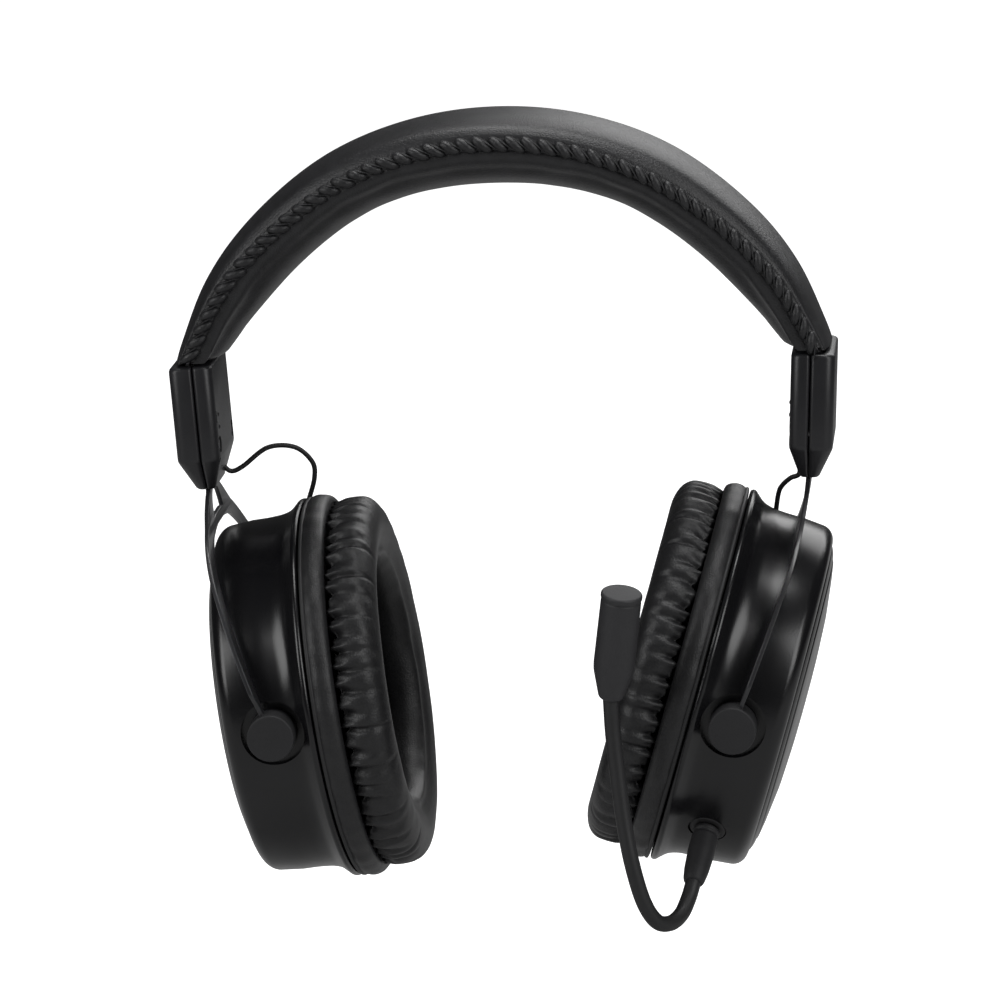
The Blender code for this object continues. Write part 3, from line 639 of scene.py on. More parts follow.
def pleatTree():  # folds the skin in around its seam: wide pleats that die out, and close gathers at the seam
    tree, given, out = newGroup("pleats", [
        ("Geometry", "NodeSocketGeometry", None), ("Pleats", "NodeSocketInt", 58),
                                           ("Pleat Depth", "NodeSocketFloat", 0.0015),
        ("Gather Depth", "NodeSocketFloat", 0.0005), ("Unevenness", "NodeSocketFloat", 0.7),
                                           ("Seed", "NodeSocketInt", 1),
        ("Skin", "NodeSocketMaterial", None)], [("Geometry", "NodeSocketGeometry")], "GeometryNodeTree")
    around = addNode(tree, "GeometryNodeInputNamedAttribute", {"Name": "around"},
                     data_type="FLOAT").outputs["Attribute"]
    fold = addNode(tree, "GeometryNodeInputNamedAttribute", {"Name": "fold"},
                   data_type="FLOAT").outputs["Attribute"]
    turns = mathNode(tree, "MULTIPLY", around, given.outputs["Pleats"])
    circle = addNode(tree, "ShaderNodeCombineXYZ", {
        "X": mathNode(tree, "COSINE", mathNode(tree, "MULTIPLY", around, 2 * math.pi)),
        "Y": mathNode(tree, "SINE", mathNode(tree, "MULTIPLY", around, 2 * math.pi)),
        "Z": mathNode(tree, "MULTIPLY", given.outputs["Seed"], 3.7)})
    wander = addNode(tree, "ShaderNodeTexNoise", {"Vector": circle.outputs[0], "Scale": 7.0, "Detail": 1.0})
    shift = mathNode(tree, "MULTIPLY", mathNode(tree, "SUBTRACT", wander.outputs["Fac"], 0.5),
                 mathNode(tree, "MULTIPLY", given.outputs["Unevenness"], 3.0))
    phase = mathNode(tree, "ADD", turns, shift)
    wave = mathNode(tree, "COSINE", mathNode(tree, "MULTIPLY", phase, 2 * math.pi))
    valley = mathNode(tree, "POWER", mathNode(tree, "MULTIPLY", mathNode(tree, "ADD", wave, 1.0), 0.5), 1.7)
    strength = addNode(tree, "ShaderNodeTexNoise",
                       {"Vector": circle.outputs[0], "Scale": 11.0, "Detail": 0.0})
    reach = addNode(tree, "ShaderNodeMapRange", {
        "Value": strength.outputs["Fac"], "From Min": 0.3, "From Max": 0.7, "To Min": 1.35, "To Max": 0.8})
    left = mathNode(tree, "SUBTRACT", 1.0, mathNode(tree, "MULTIPLY", fold, reach.outputs[0]))
    fade = mathNode(tree, "POWER", mathNode(tree, "MAXIMUM", left, 0.0), 1.2)
    pleat = mathNode(tree, "MULTIPLY", mathNode(tree, "MULTIPLY", valley, fade), given.outputs["Pleat Depth"])
    fine = mathNode(tree, "SINE", mathNode(tree, "MULTIPLY", phase, 4 * math.pi))
    near = mathNode(tree, "MAXIMUM", mathNode(tree, "SUBTRACT", 1.0, mathNode(tree, "MULTIPLY", fold, 3.2)),
                    0.0)
    gather = mathNode(tree, "MULTIPLY", mathNode(tree, "MULTIPLY", fine, near), given.outputs["Gather Depth"])
    depth = mathNode(tree, "MULTIPLY", mathNode(tree, "ADD", pleat, gather), -1.0)
    normal = tree.nodes.new("GeometryNodeInputNormal").outputs["Normal"]
    offset = addNode(tree, "ShaderNodeVectorMath", {0: normal, "Scale": depth}, operation="SCALE")
    moved = addNode(tree, "GeometryNodeSetPosition",
                    {"Geometry": given.outputs["Geometry"], "Offset": offset.outputs[0]})
    real = addNode(tree, "GeometryNodeRealizeInstances", {"Geometry": moved.outputs["Geometry"]})
    done = addNode(tree, "GeometryNodeSetMaterial",
                   {"Geometry": real.outputs["Geometry"], "Material": given.outputs["Skin"]})
    tree.links.new(done.outputs["Geometry"], out.inputs["Geometry"])
    return tree


def giveTree(obj, tree, values):  # puts a tree on an object and sets its inputs by identifier
    change = obj.modifiers.new(tree.name, "NODES")
    change.node_group = tree
    for item in tree.interface.items_tree:
        if item.in_out == "INPUT" and item.name in values:
            change[item.identifier] = values[item.name]


def runTree(obj, tree, values, look, sharp=40):  # and keeps the result as a plain mesh
    giveTree(obj, tree, values)
    return settle(obj, look, sharp)


def foamForCushion():
    outline = cushionOutline(cushion["shrink"])
    points, faces = turnProfile([tuple(p) for p in outline], 96)
    return puffed(points, faces, lambda spot: spot[2] > cushion["seat"] - 1.4, cushion)


def makeCushion(side, foam, pleats):
    outline = smoothLine(cushionOutline(), 56)
    along = np.gradient(outline, axis=0)
    along /= np.linalg.norm(along, axis=1)[:, None]
    outward = np.column_stack([-along[:, 1], along[:, 0]])
    outward *= np.sign(((outline - np.array((39.8, -23.6))) * outward).sum(axis=1))[:, None]
    run = np.concatenate([[0], np.cumsum(np.linalg.norm(np.diff(outline, axis=0), axis=1))])
    fold = np.clip(run / 15.0, 0, 2)
    steps, count = cushion["around"], len(outline)
    points, normals, turned, folds = [], [], [], []
    for i, a in enumerate(np.linspace(0, 2 * math.pi, steps, endpoint=False)):
        for k in range(count):
            points.append((outline[k][0] * math.cos(a), outline[k][0] * math.sin(a), outline[k][1]))
            normals.append((outward[k][0] * math.cos(a), outward[k][0] * math.sin(a), outward[k][1]))
            turned.append(i / steps)
            folds.append(fold[k])
    points = ontoFoam(points, normals, foam, steps, cushion)
    faces = wheelFaces(steps, count)
    skin = addPiece(side + "EarCushion", inPlace(points, cupFrame(side)), faces, "cushionLeather", True, 180)
    for name, values in (("around", turned), ("fold", folds)):
        skin.data.attributes.new(name, "FLOAT", "POINT").data.foreach_set("value", values)
    skin = runTree(skin, pleats, {"Pleats": cushion["pleats"], "Pleat Depth": cushion["pleatDepth"],
                                  "Gather Depth": cushion["gatherDepth"], "Unevenness": cushion["unevenness"],
                                  "Seed": cushion["seed"] + sides[side], "Skin": looks["cushionLeather"]},
                   "cushionLeather", 180)
    place(skin, side + "_cup", "pleated_leatherette", side + "_ear_cushion")


def makeSkirt(side):  # the leatherette lip stretched over the baffle's rim, slightly uneven
    steps = 360
    line = smoothLine([(45.0, -11.2), (47.4, -11.3), (48.8, -11.8), (49.6, -12.8), (49.9, -14.4),
                       (49.5, -16.2), (48.7, -17.3),
                       (47.6, -17.7)], 22)
    along = np.gradient(line, axis=0)
    inward = np.column_stack([along[:, 1], -along[:, 0]]) / np.linalg.norm(along, axis=1)[:, None]
    inward *= np.sign(((np.array((46.0, -14.5)) - line) * inward).sum(axis=1))[:, None]
    rng = np.random.default_rng(cushion["seed"] + sides[side])
    waves = [(n, rng.uniform(0.02, 0.07), rng.uniform(0, 6.3), rng.uniform(-2.5, 2.5)) for n in (7, 11, 17,
                                                                                                 23, 31, 43)]
    points, faces = [], []
    count = len(line)
    for layer in (0.0, 0.35):
        for a in np.linspace(0, 2 * math.pi, steps, endpoint=False):
            for k, (r, z) in enumerate(line + inward * layer):
                share = k / (count - 1)
                puff = sum(h * math.sin(n * a + p + lag * share) for n, h, p,
                           lag in waves) * math.sin(math.pi * share) ** 0.5
                r2 = r + min(puff, 0.22)
                points.append((r2 * math.cos(a), r2 * math.sin(a), z))
    shift = steps * count
    for i in range(steps):
        j = (i + 1) % steps
        for k in range(count - 1):
            faces.append((i * count + k, j * count + k, j * count + k + 1, i * count + k + 1))
            faces.append(tuple(shift + n for n in (i * count + k, i * count + k + 1, j * count + k + 1,
                                                   j * count + k)))
        for k in (0, count - 1):
            faces.append((i * count + k, j * count + k, shift + j * count + k, shift + i * count + k))
    skirt = addPiece(side + "CushionSkirt", inPlace(points, cupFrame(side)), faces, "cushionLeather", True,
                     60)
    place(skirt, side + "_cup", "pleated_leatherette")


def makeScrim(side):  # thin cloth over the driver, drawn flat by its hoop
    points, faces = [(0, 0, -19.5)], []
    rings, steps = 14, 96
    for n in range(1, rings + 1):
        r = 29.5 * n / rings
        for a in np.linspace(0, 2 * math.pi, steps, endpoint=False):
            points.append((r * math.cos(a), r * math.sin(a), -19.5 + 0.35 * (n / rings) ** 4))
    for k in range(steps):
        m = (k + 1) % steps
        faces.append((0, 1 + k, 1 + m))
        for n in range(rings - 1):
            a, b = 1 + n * steps, 1 + (n + 1) * steps
            faces.append((a + k, b + k, b + m, a + m))
    cloth = addPiece(side + "ScrimCloth", inPlace(points, cupFrame(side)), faces, "scrimWeave")
    thick = cloth.modifiers.new("thick", "SOLIDIFY")
    thick.thickness = 0.0004
    thick.offset = 0.0
    cloth = settle(cloth, "scrimWeave")
    place(cloth, side + "_cup", "scrim_cloth", side + "_scrim_cloth")


# Headband: a leatherette cover and pad, laced together along both edges

band = {
    "crown": 12.7,
    "half": ((0, 0), (20.5, -2.5), (40.5, -10.3), (58.5, -23.6), (70.9, -37.6), (80.3, -55.2)),
    "widthTop": 19.6,
    "widthEnd": 15.0,
    "stations": 261,
    "rise": 6.3,
    "shoulderRise": 0.6,
    "endDrop": 2.6,
    "shoulder": 11.5,
    "endDepth": 6.2,
    "voxel": 0.005,
    "pressure": 4.0,
    "mostSwell": 1.0,
    "frames": 20,
    "reach": 2.5,
    "softening": (12, 14),
    "lacePitch": 0.0041,
    "laceSlant": 33.0,
    "laceLoop": (0.0030, 0.00145, 0.0019),
    "laceThread": (0.0034, 0.00028, 0.0017),
    "bendFrom": -0.06,
    "bendTo": 0.07,
}


def bandLine():
    line = smoothLine([(-x, z) for x, z in band["half"][:0:-1]] + list(band["half"]), band["stations"])
    ahead = np.gradient(line, axis=0)
    ahead /= np.linalg.norm(ahead, axis=1)[:, None]
    normal = np.column_stack([-ahead[:, 1], ahead[:, 0]])
    share = np.abs(np.linspace(-1, 1, len(line)))
    turnIn = np.clip((share - 0.93) / 0.07, 0, 1)[:, None] ** 2
    level = np.column_stack([np.sign(line[:, 0]), np.zeros(len(line))])
    normal = normal * (1 - turnIn) + level * turnIn
    normal /= np.linalg.norm(normal, axis=1)[:, None]
    return line + (0, band["crown"]), normal, share


def bandSizes(share):  # half width, rise of the cover, depth of the pad
    wide = band["widthTop"] + (band["widthEnd"] - band["widthTop"]) * share**1.5
    ease = min(1, share / 0.4)
    deep = band["crown"] + (band["shoulder"] - band["crown"]) * ease * ease * (3 - 2 * ease)
    if share > 0.7:
        deep += (band["endDepth"] - deep) * ((share - 0.7) / 0.3) ** 2
    rise = band["rise"] + band["shoulderRise"] * math.sin(math.pi * share) ** 2 - band["endDrop"] * share**4
    return wide, rise, deep


def coverOutline(share):
    wide, rise, _ = bandSizes(share)
    half = [(0.0, rise), (0.3 * wide, rise * 0.985), (0.6 * wide, rise * 0.88), (0.84 * wide, rise * 0.68),
            (0.955 * wide, 2.3),
            (0.97 * wide, 1.5)]
    outer = smoothLine([(-y, n) for y, n in half[::-1]] + half[1:], 61)
    return np.vstack([outer, [(0.9 * wide, 0.6), (0.0, 0.6), (-0.9 * wide, 0.6)]])


def padOutline(share):
    wide, _, deep = bandSizes(share)
    half = [(0.97 * wide, -1.5), (0.975 * wide, -2.6), (0.95 * wide, -4.6), (0.84 * wide, -0.59 * deep),
            (0.62 * wide, -0.82 * deep), (0.32 * wide, -0.965 * deep), (0.0, -deep)]
    outer = smoothLine(half + [(-y, n) for y, n in half[-2::-1]], 61)
    return np.vstack([outer, [(-0.9 * wide, -0.6), (0.0, -0.6), (0.9 * wide, -0.6)]])


def bandSkin(name, outline, look, foam=None):
    line, normal, share = bandLine()
    points, normals = [], []
    for spot, out, s in zip(line, normal, share):
        ring = outline(s)
        along = np.gradient(ring, axis=0)
        side = np.column_stack([along[:, 1], -along[:, 0]])
        side /= np.linalg.norm(side, axis=1)[:, None]
        if (side[30] @ ring[30]) < 0:
            side = -side
        for (y, n), (sy, sn) in zip(ring, side):
            points.append((spot[0] + out[0] * n, y, spot[1] + out[1] * n))
            normals.append((out[0] * sn, sy, out[1] * sn))
    count = len(ring)
    if foam:
        moved = ontoFoam(points, normals, foam, len(line), band)
        ends = 6
        for i in range(ends, len(line) - ends):
            ease = min(1, (i - ends) / 10, (len(line) - ends - i) / 10)
            for k in range(3, 58):
                at = i * count + k
                points[at] = tuple(Vector(points[at]).lerp(Vector(moved[at]),
                                                           ease * min(1, (k - 2) / 6, (58 - k) / 6)))
    return addPiece(name, points, loftFaces(len(line), count), look, True, 55)


def foamForPad():
    line, normal, share = bandLine()
    points, count = [], None
    for spot, out, s in list(zip(line, normal, share))[::4]:
        ring = padOutline(s)[::2]
        count = len(ring)
        points += [(spot[0] + out[0] * n, y, spot[1] + out[1] * n) for y, n in ring * (0.97, 0.96)]
    faces = loftFaces(len(points) // count, count)

    def held(spot):
        near = np.linalg.norm(line - (spot[0], spot[2]), axis=1).argmin()
        return (np.array((spot[0], spot[2])) - line[near]) @ normal[near] > -2.6 or spot[2] < -38

    return puffed(points, faces, held, band)


def laceTree():  # plump slanted loops of leather along an edge, with a thread drawn tight between each pair
    tree, given, out = newGroup("edgeLacing", [
        ("Geometry", "NodeSocketGeometry", None), ("Pitch", "NodeSocketFloat", 0.004),
                                               ("Slant", "NodeSocketFloat", 0.4),
        ("Loop Size", "NodeSocketVector", None), ("Thread Size", "NodeSocketVector", None),
                                               ("Seed", "NodeSocketInt", 2),
        ("Leather", "NodeSocketMaterial", None), ("Thread", "NodeSocketMaterial", None)],
        [("Geometry", "NodeSocketGeometry")], "GeometryNodeTree")
    curve = addNode(tree, "GeometryNodeMeshToCurve", {0: given.outputs["Geometry"]})
    parts = []
    for half, size, skin, mark in ((0, "Loop Size", "Leather", 0), (1, "Thread Size", "Thread", 1)):
        spaced = addNode(tree, "GeometryNodeResampleCurve",
                         {"Curve": curve.outputs[0], "Length": given.outputs["Pitch"]},
                         mode="LENGTH")
        tangent = tree.nodes.new("GeometryNodeInputTangent").outputs[0]
        outward = addNode(tree, "GeometryNodeInputNamedAttribute", {"Name": "outward"},
                          data_type="FLOAT_VECTOR").outputs["Attribute"]
        step = addNode(tree, "ShaderNodeVectorMath",
                       {0: tangent, "Scale": mathNode(tree, "MULTIPLY", given.outputs["Pitch"], 0.5 * half)},
                       operation="SCALE")
        shifted = addNode(tree, "GeometryNodeSetPosition",
                          {"Geometry": spaced.outputs["Curve"], "Offset": step.outputs[0]})
        aim = addNode(tree, "FunctionNodeAxesToRotation",
                      {"Primary Axis": outward, "Secondary Axis": tangent},
                      primary_axis="Z", secondary_axis="X")
        slope = addNode(tree, "ShaderNodeCombineXYZ", {"Z": given.outputs["Slant"]})
        turned = addNode(tree, "FunctionNodeRotateRotation",
                         {"Rotation": aim.outputs[0], "Rotate By": slope.outputs[0]},
                         rotation_space="LOCAL")
        ball = addNode(tree, "GeometryNodeMeshIcoSphere", {"Radius": 1.0, "Subdivisions": 3 - mark})
        shaped = addNode(tree, "GeometryNodeTransform",
                         {"Geometry": ball.outputs["Mesh"], "Scale": given.outputs[size]})
        soft = addNode(tree, "GeometryNodeSetShadeSmooth", {"Geometry": shaped.outputs["Geometry"]})
        uneven = addNode(tree, "FunctionNodeRandomValue", {"Min": (0.9, 0.93, 0.9), "Max": (1.08, 1.05, 1.1),
                                                           "Seed": given.outputs["Seed"]},
                         data_type="FLOAT_VECTOR")
        spread = addNode(tree, "GeometryNodeInstanceOnPoints", {
            "Points": shifted.outputs["Geometry"], "Instance": soft.outputs["Geometry"],
                                                                "Rotation": turned.outputs[0],
            "Scale": uneven.outputs["Value"]})
        real = addNode(tree, "GeometryNodeRealizeInstances", {"Geometry": spread.outputs["Instances"]})
        parts.append(addNode(tree, "GeometryNodeSetMaterial", {"Geometry": real.outputs["Geometry"],
                                                               "Material": given.outputs[skin]}))
    joined = tree.nodes.new("GeometryNodeJoinGeometry")
    for part in parts:
        tree.links.new(part.outputs["Geometry"], joined.inputs["Geometry"])
    tree.links.new(joined.outputs["Geometry"], out.inputs["Geometry"])
    return tree


def makeLacing(name, back, lacing):
    line, normal, share = bandLine()
    keep = range(3, len(line) - 3)
    points = []
    for i in keep:
        wide = bandSizes(share[i])[0]
        points.append(Vector((line[i][0], back * 0.975 * wide, line[i][1])) * mm)
    mesh = bpy.data.meshes.new(name)
    mesh.from_pydata(points, [(i, i + 1) for i in range(len(points) - 1)], [])
    outward = mesh.attributes.new("outward", "FLOAT_VECTOR", "POINT")
    outward.data.foreach_set("vector", [0, back, 0] * len(points))
    path = bpy.data.objects.new(name, mesh)
    bpy.context.scene.collection.objects.link(path)
    giveTree(path, lacing, {"Pitch": band["lacePitch"], "Slant": math.radians(band["laceSlant"]) * back,
                            "Loop Size": band["laceLoop"],
              "Thread Size": band["laceThread"], "Seed": 3 + back, "Leather": looks["bandLeather"],
                            "Thread": looks["thread"]})
    bpy.context.view_layer.update()
    made = bpy.data.meshes.new_from_object(path.evaluated_get(bpy.context.evaluated_depsgraph_get()))
    bpy.data.objects.remove(path)
    bm = bmesh.new()
    bm.from_mesh(made)
    bmesh.ops.recalc_face_normals(bm, faces=bm.faces)
    bm.to_mesh(made)
    bm.free()
    made.name = name
    obj = bpy.data.objects.new(name, made)
    bpy.context.scene.collection.objects.link(obj)
    return obj


def edgeRibbon(name, back):  # the folded edge under the lacing
    line, normal, share = bandLine()
    keep = range(1, len(line) - 1)
    points, count = [], 14
    for i in keep:
        wide = bandSizes(share[i])[0]
        for a in np.linspace(0, 2 * math.pi, count, endpoint=False):
            y = back * (0.94 * wide + 1.0 * math.cos(a))
            n = 1.9 * math.sin(a)
            points.append((line[i][0] + normal[i][0] * n, y, line[i][1] + normal[i][1] * n))
    return addPiece(name, points, loftFaces(len(points) // count, count), "bandLeather", True, 60)


def bendWithBand(obj, slotName, *replaced):
    if replaced:
        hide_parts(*replaced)
    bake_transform(obj)


def makeBand():
    bendWithBand(bandSkin("bandCover", coverOutline, "bandLeather"), "band_leatherette", "headband_cover")
    pad = bandSkin("bandPad", padOutline, "bandLeather", foamForPad())
    bendWithBand(pad, "band_leatherette", "headband_pad")
    lacing = laceTree()
    for label, back in (("front", -1), ("rear", 1)):
        bendWithBand(edgeRibbon(label + "BandEdge", back), "band_leatherette")
        bendWithBand(makeLacing(label + "BandLacing", back, lacing), "band_leatherette")
    strip = nodes["headband_spring"].data.copy()
    spring = finishMesh("springStrip", strip, "springSteel", False)
    bendWithBand(spring, "spring_steel", "headband_spring")


# Housings, yokes, knobs and leads

housing = {
    "bottom": 56.0,
    "height": 33.0,
    "halfDepth": 15.6,
    "outerThick": 6.2,
    "innerThick": 5.0,
    "nozzleHeight": 8.5,
    "nozzleHalfDepth": 9.2,
    "nozzleFill": 0.42,
    "lean": 3.0,
    "corner": 2.6,
    "seamCorner": 0.9,
    "rim": 0.9,
}

yoke = {
    "thick": 1.2,
    "bendStart": 35.0,
    "bendEnd": 58.0,
    "lowerSlope": 22.0,
    "bladeHalfWidth": 7.5,
    "bladeTop": 83.5,
    "armInner": 47.2,
    "armOuter": 52.4,
    "edge": 0.22,
}


def yokeOut(z):  # how far outward of the pivot the sheet stands at a height above it
    slope, lean = math.radians(yoke["lowerSlope"]), math.radians(housing["lean"])
    if z <= yoke["bendStart"]:
        return z * math.tan(slope)
    radius = (yoke["bendEnd"] - yoke["bendStart"]) / (math.sin(slope) - math.sin(lean))
    base = yoke["bendStart"] * math.tan(slope)
    if z <= yoke["bendEnd"]:
        angle = math.asin(math.sin(slope) - (z - yoke["bendStart"]) / radius)
        return base + radius * (math.cos(angle) - math.cos(slope))
    return base + radius * (math.cos(lean) - math.cos(slope)) + (z - yoke["bendEnd"]) * math.tan(lean)


def housingFrame(side):
    lean = Matrix.Rotation(math.radians(sides[side] * housing["lean"]), 4, "Y")
    spot = (sides[side] * yokeOut(housing["bottom"]), 0, housing["bottom"])
    return yokeFrame(side) @ Matrix.Translation(spot) @ lean


def plateRing(near, far, depth, inset):  # one level of a housing half, from its seam face to its crowned face
    turn = 1 if far > near else -1
    reach = abs(far - near) - inset
    depth = depth - inset
    big = min(housing["corner"], reach * 0.7)
    small = min(housing["seamCorner"], reach * 0.25)
    ring = []
    for cx, cy, radius, start in ((small, -depth + small, small, 180), (reach - big, -depth + big, big, 270),
                                  (reach - big, depth - big, big, 0), (small, depth - small, small, 90)):
        for a in np.radians(np.linspace(start, start + 90, 9)):
            ring.append((near + turn * (cx + radius * math.cos(a)), cy + radius * math.sin(a)))
    return ring


def plainBox(name, low, high, matrix):
    points = [(x, y, z) for x in (low[0], high[0]) for y in (low[1], high[1]) for z in (low[2], high[2])]
    faces = [(0, 1, 3, 2), (4, 6, 7, 5), (0, 4, 5, 1), (2, 3, 7, 6), (0, 2, 6, 4), (1, 5, 7, 3)]
    return addPiece(name, inPlace(points, matrix), faces, "housingSatin", False)


def makeHousing(side):
    sign = sides[side]
    matrix = housingFrame(side)
    body = "band" if side == "right" else "left_band"
    top, foot, rim = housing["height"], housing["nozzleHeight"], housing["rim"]
    levels = [(top, 0.9), (top - 0.12, 0.5), (top - 0.4, 0.2), (top - rim, 0.0), (foot + 0.7, 0.0),
              (foot, 0.06), (foot - 0.6, 0.0)]
    for half, near, far in (("outer", 0.15, housing["outerThick"]), ("inner", -0.15, -housing["innerThick"])):
        near, far = near * sign, far * sign
        points, rings = [], []
        for z, inset in levels + [(0.5, 0.0), (0.0, 0.35)]:
            share = min(1, z / foot)
            depth = housing["nozzleHalfDepth"] + (housing["halfDepth"] - housing["nozzleHalfDepth"]) * share
            fill = housing["nozzleFill"] + (1 - housing["nozzleFill"]) * share
            rings.append([(x, y, z) for x, y in plateRing(near, near + (far - near) * fill, depth, inset)])
        for ring in rings:
            points += ring
        faces = loftFaces(len(rings), len(rings[0]))
        name = side + "Housing" + half.capitalize()
        plate = addPiece(name, inPlace(points, matrix), faces, "housingSatin", True, 30)
        gap = yoke["thick"] / 2 + 0.3
        wide = yoke["bladeHalfWidth"] + 0.3
        cutters = [plainBox("blade", (-gap, -wide, -2), (gap, wide, top - 2), matrix)]
        if half == "outer":
            cutters.append(plainBox("pocket", (sign * 1.9 - 1.8, -12.1, top - 8.5),
                                    (sign * 1.9 + 1.8, 12.1, top + 2), matrix))
        else:
            for low, high in ((17.8, 21.0), (5.4, 8.8)):
                cutters.append(plainBox("slot", (far - 0.7, -13.6, low), (far + 0.7, -12.9, high), matrix))
            for y in (-11.4, 11.4):
                cutters.append(rod("sink", 2.2, 3.6, 7.0, matrix @ Matrix.Translation((0, y, 12))
                                   @ Matrix.Rotation(math.radians(90 * sign), 4, "Z"), "housingSatin", 32))
        plate = carve(plate, cutters, "housingSatin", (), 30)
        place(plate, body, "housing_plastic", side + "_housing_" + half)
    for z in (16.4, 19.6):
        dot = turnedPiece(side + "Pip" + str(round(z)),
                          [(0.0, 0.3), (0.35, 0.24), (0.62, 0.05), (0.62, -0.2), (0.0, -0.2)],
                          matrix @ Matrix.Translation((-sign * housing["innerThick"], -10.2, z))
                          @ Matrix.Rotation(math.radians(-90 * sign), 4, "Y"), "housingSatin", 24, False)
        place(dot, body, "housing_plastic")


def arcPoints(center, radius, start, end, count):
    return [(center[0] + radius * math.cos(a),
             center[1] + radius * math.sin(a)) for a in np.radians(np.linspace(start, end, count))]


def easedOutline(corners, radius, count=5):  # a closed flat outline with its corners rounded
    return [tuple(p) for p in roundCorners(corners, radius, count, True)]


def makeYoke(side):
    half = [(yoke["bladeHalfWidth"], yoke["bladeTop"]), (yoke["bladeHalfWidth"], 55.5), (11.5, 53.6),
            (15.5, 51.4)]
    half += arcPoints((0, 0), yoke["armOuter"] - yoke["edge"], 66, 12, 25) + [(49.6, 7.5), (49.4, 1.8),
                                                                              (46.8, 1.8), (46.8, 7.0)]
    half += arcPoints((0, 0), yoke["armInner"] + yoke["edge"], 12, 70, 25) + [(10.5, 45.6), (5.5, 46.2)]
    outline = easedOutline(half + [(-y, z) for y, z in half[::-1]], 1.2)
    hole = easedOutline(arcPoints((0, 47.2), 8.2, 8, 172, 24) + [(-5.5, 48.8), (5.5, 48.8)], 0.8)
    curve = bpy.data.curves.new("sheet", "CURVE")
    curve.dimensions = "2D"
    curve.fill_mode = "BOTH"
    curve.extrude = yoke["thick"] / 2 - yoke["edge"]
    curve.bevel_depth = yoke["edge"]
    curve.bevel_resolution = 2
    curve.offset = -yoke["edge"]
    for loop in (outline, hole):
        spline = curve.splines.new("POLY")
        spline.points.add(len(loop) - 1)
        for point, (y, z) in zip(spline.points, loop):
            point.co = (y, z, 0, 1)
        spline.use_cyclic_u = True
    holder = bpy.data.objects.new("sheet", curve)
    bpy.context.scene.collection.objects.link(holder)
    bpy.context.view_layer.update()
    flat = bpy.data.meshes.new_from_object(holder.evaluated_get(bpy.context.evaluated_depsgraph_get()))
    bpy.data.objects.remove(holder)
    bm = bmesh.new()
    bm.from_mesh(flat)
    bmesh.ops.remove_doubles(bm, verts=bm.verts, dist=0.002)
    for height in np.arange(4, yoke["bladeTop"] - 1, 2.0):
        bmesh.ops.bisect_plane(bm, geom=bm.verts[:] + bm.edges[:] + bm.faces[:], plane_co=(0, height, 0),
                               plane_no=(0, 1, 0))
    matrix = yokeFrame(side)
    for vert in bm.verts:
        y, z, x = vert.co
        vert.co = matrix @ Vector(((x + yokeOut(z)) * sides[side], y, z)) * mm
    bm.to_mesh(flat)
    bm.free()
    place(finishMesh(side + "Yoke", flat, "yokePaint", True, 35), side + "_slider", "painted_metal",
          side + "_yoke")


def makeKnobs(side):
    for spot, way in (("front", -1), ("rear", 1)):
        knob = rod(side + spot.capitalize() + "Knob", 6.0, way * 43.6, way * 51.6, yokeFrame(side),
                   "matteBlack", 96, 0.5)
        place(knob, side + "_slider", "matte_black_plastic", side + "_" + spot + "_knob")


leads = {
    "radius": 0.65,
    "meet": 0.51,
    "points": 60,
    "right": ((16.6, 4.8, 59.5), (14.6, 5.3, 57.9), (11.6, 6.0, 59.0), (5.2, 8.0, 63.4), (-1.6, 10.0, 63.0),
              (-5.8, 11.6, 58.8),
              (-6.2, 12.0, 54.4), (-4.4, 12.4, 48.4)),
    "left": ((16.6, 4.2, 56.8), (16.2, 4.6, 54.2), (14.0, 6.0, 53.0), (11.8, 8.0, 50.8), (10.6, 10.4, 48.2),
             (9.6, 12.0, 42.5)),
}


def makeLeads(side):
    route = [tuple(yokeFrame(side) @ Vector((sides[side] * x, y, z))) for x, y, z in leads[side]]
    fixed = "band" if side == "right" else "left_band"
    for label, start, end, first, last in (("Upper", 0.0, leads["meet"], fixed, side + "_slider"),
                                           ("Lower", leads["meet"], 1.0, side + "_slider", side + "_cup")):
        line = smoothLine(route, leads["points"], start, end)
        lead = tubeMesh(side + "Lead" + label, line, leads["radius"], "sleeveRubber", 14)
        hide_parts(side + "_lead_" + label.lower())
        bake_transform(lead)


# Microphone

mic = {
    "plugLength": 17.0,
    "plugRadius": 3.4,
    "boomRadius": 2.0,
    "capsuleRadius": 5.2,
    "route": ((0.0, 0.0, 0.0), (-1.1, -2.6, -3.2), (-2.8, -6.2, -6.2), (-5.4, -10.2, -7.4),
              (-8.6, -13.2, -6.0),
              (-11.6, -14.8, -0.4), (-14.2, -14.8, 9.6), (-16.0, -13.4, 20.6), (-17.4, -12.0, 34.0),
              (-18.1, -11.5, 43.0),
              (-18.3, -11.8, 51.4)),
    "capsuleTop": (-14.2, -17.6, 79.4),
    "bendFrom": 0.5,
    "bendTo": 0.74,
}


def alongLine(start, end):
    way = (end - start).normalized()
    return Matrix.Translation(start) @ way.to_track_quat("Z", "X").to_matrix().to_4x4()


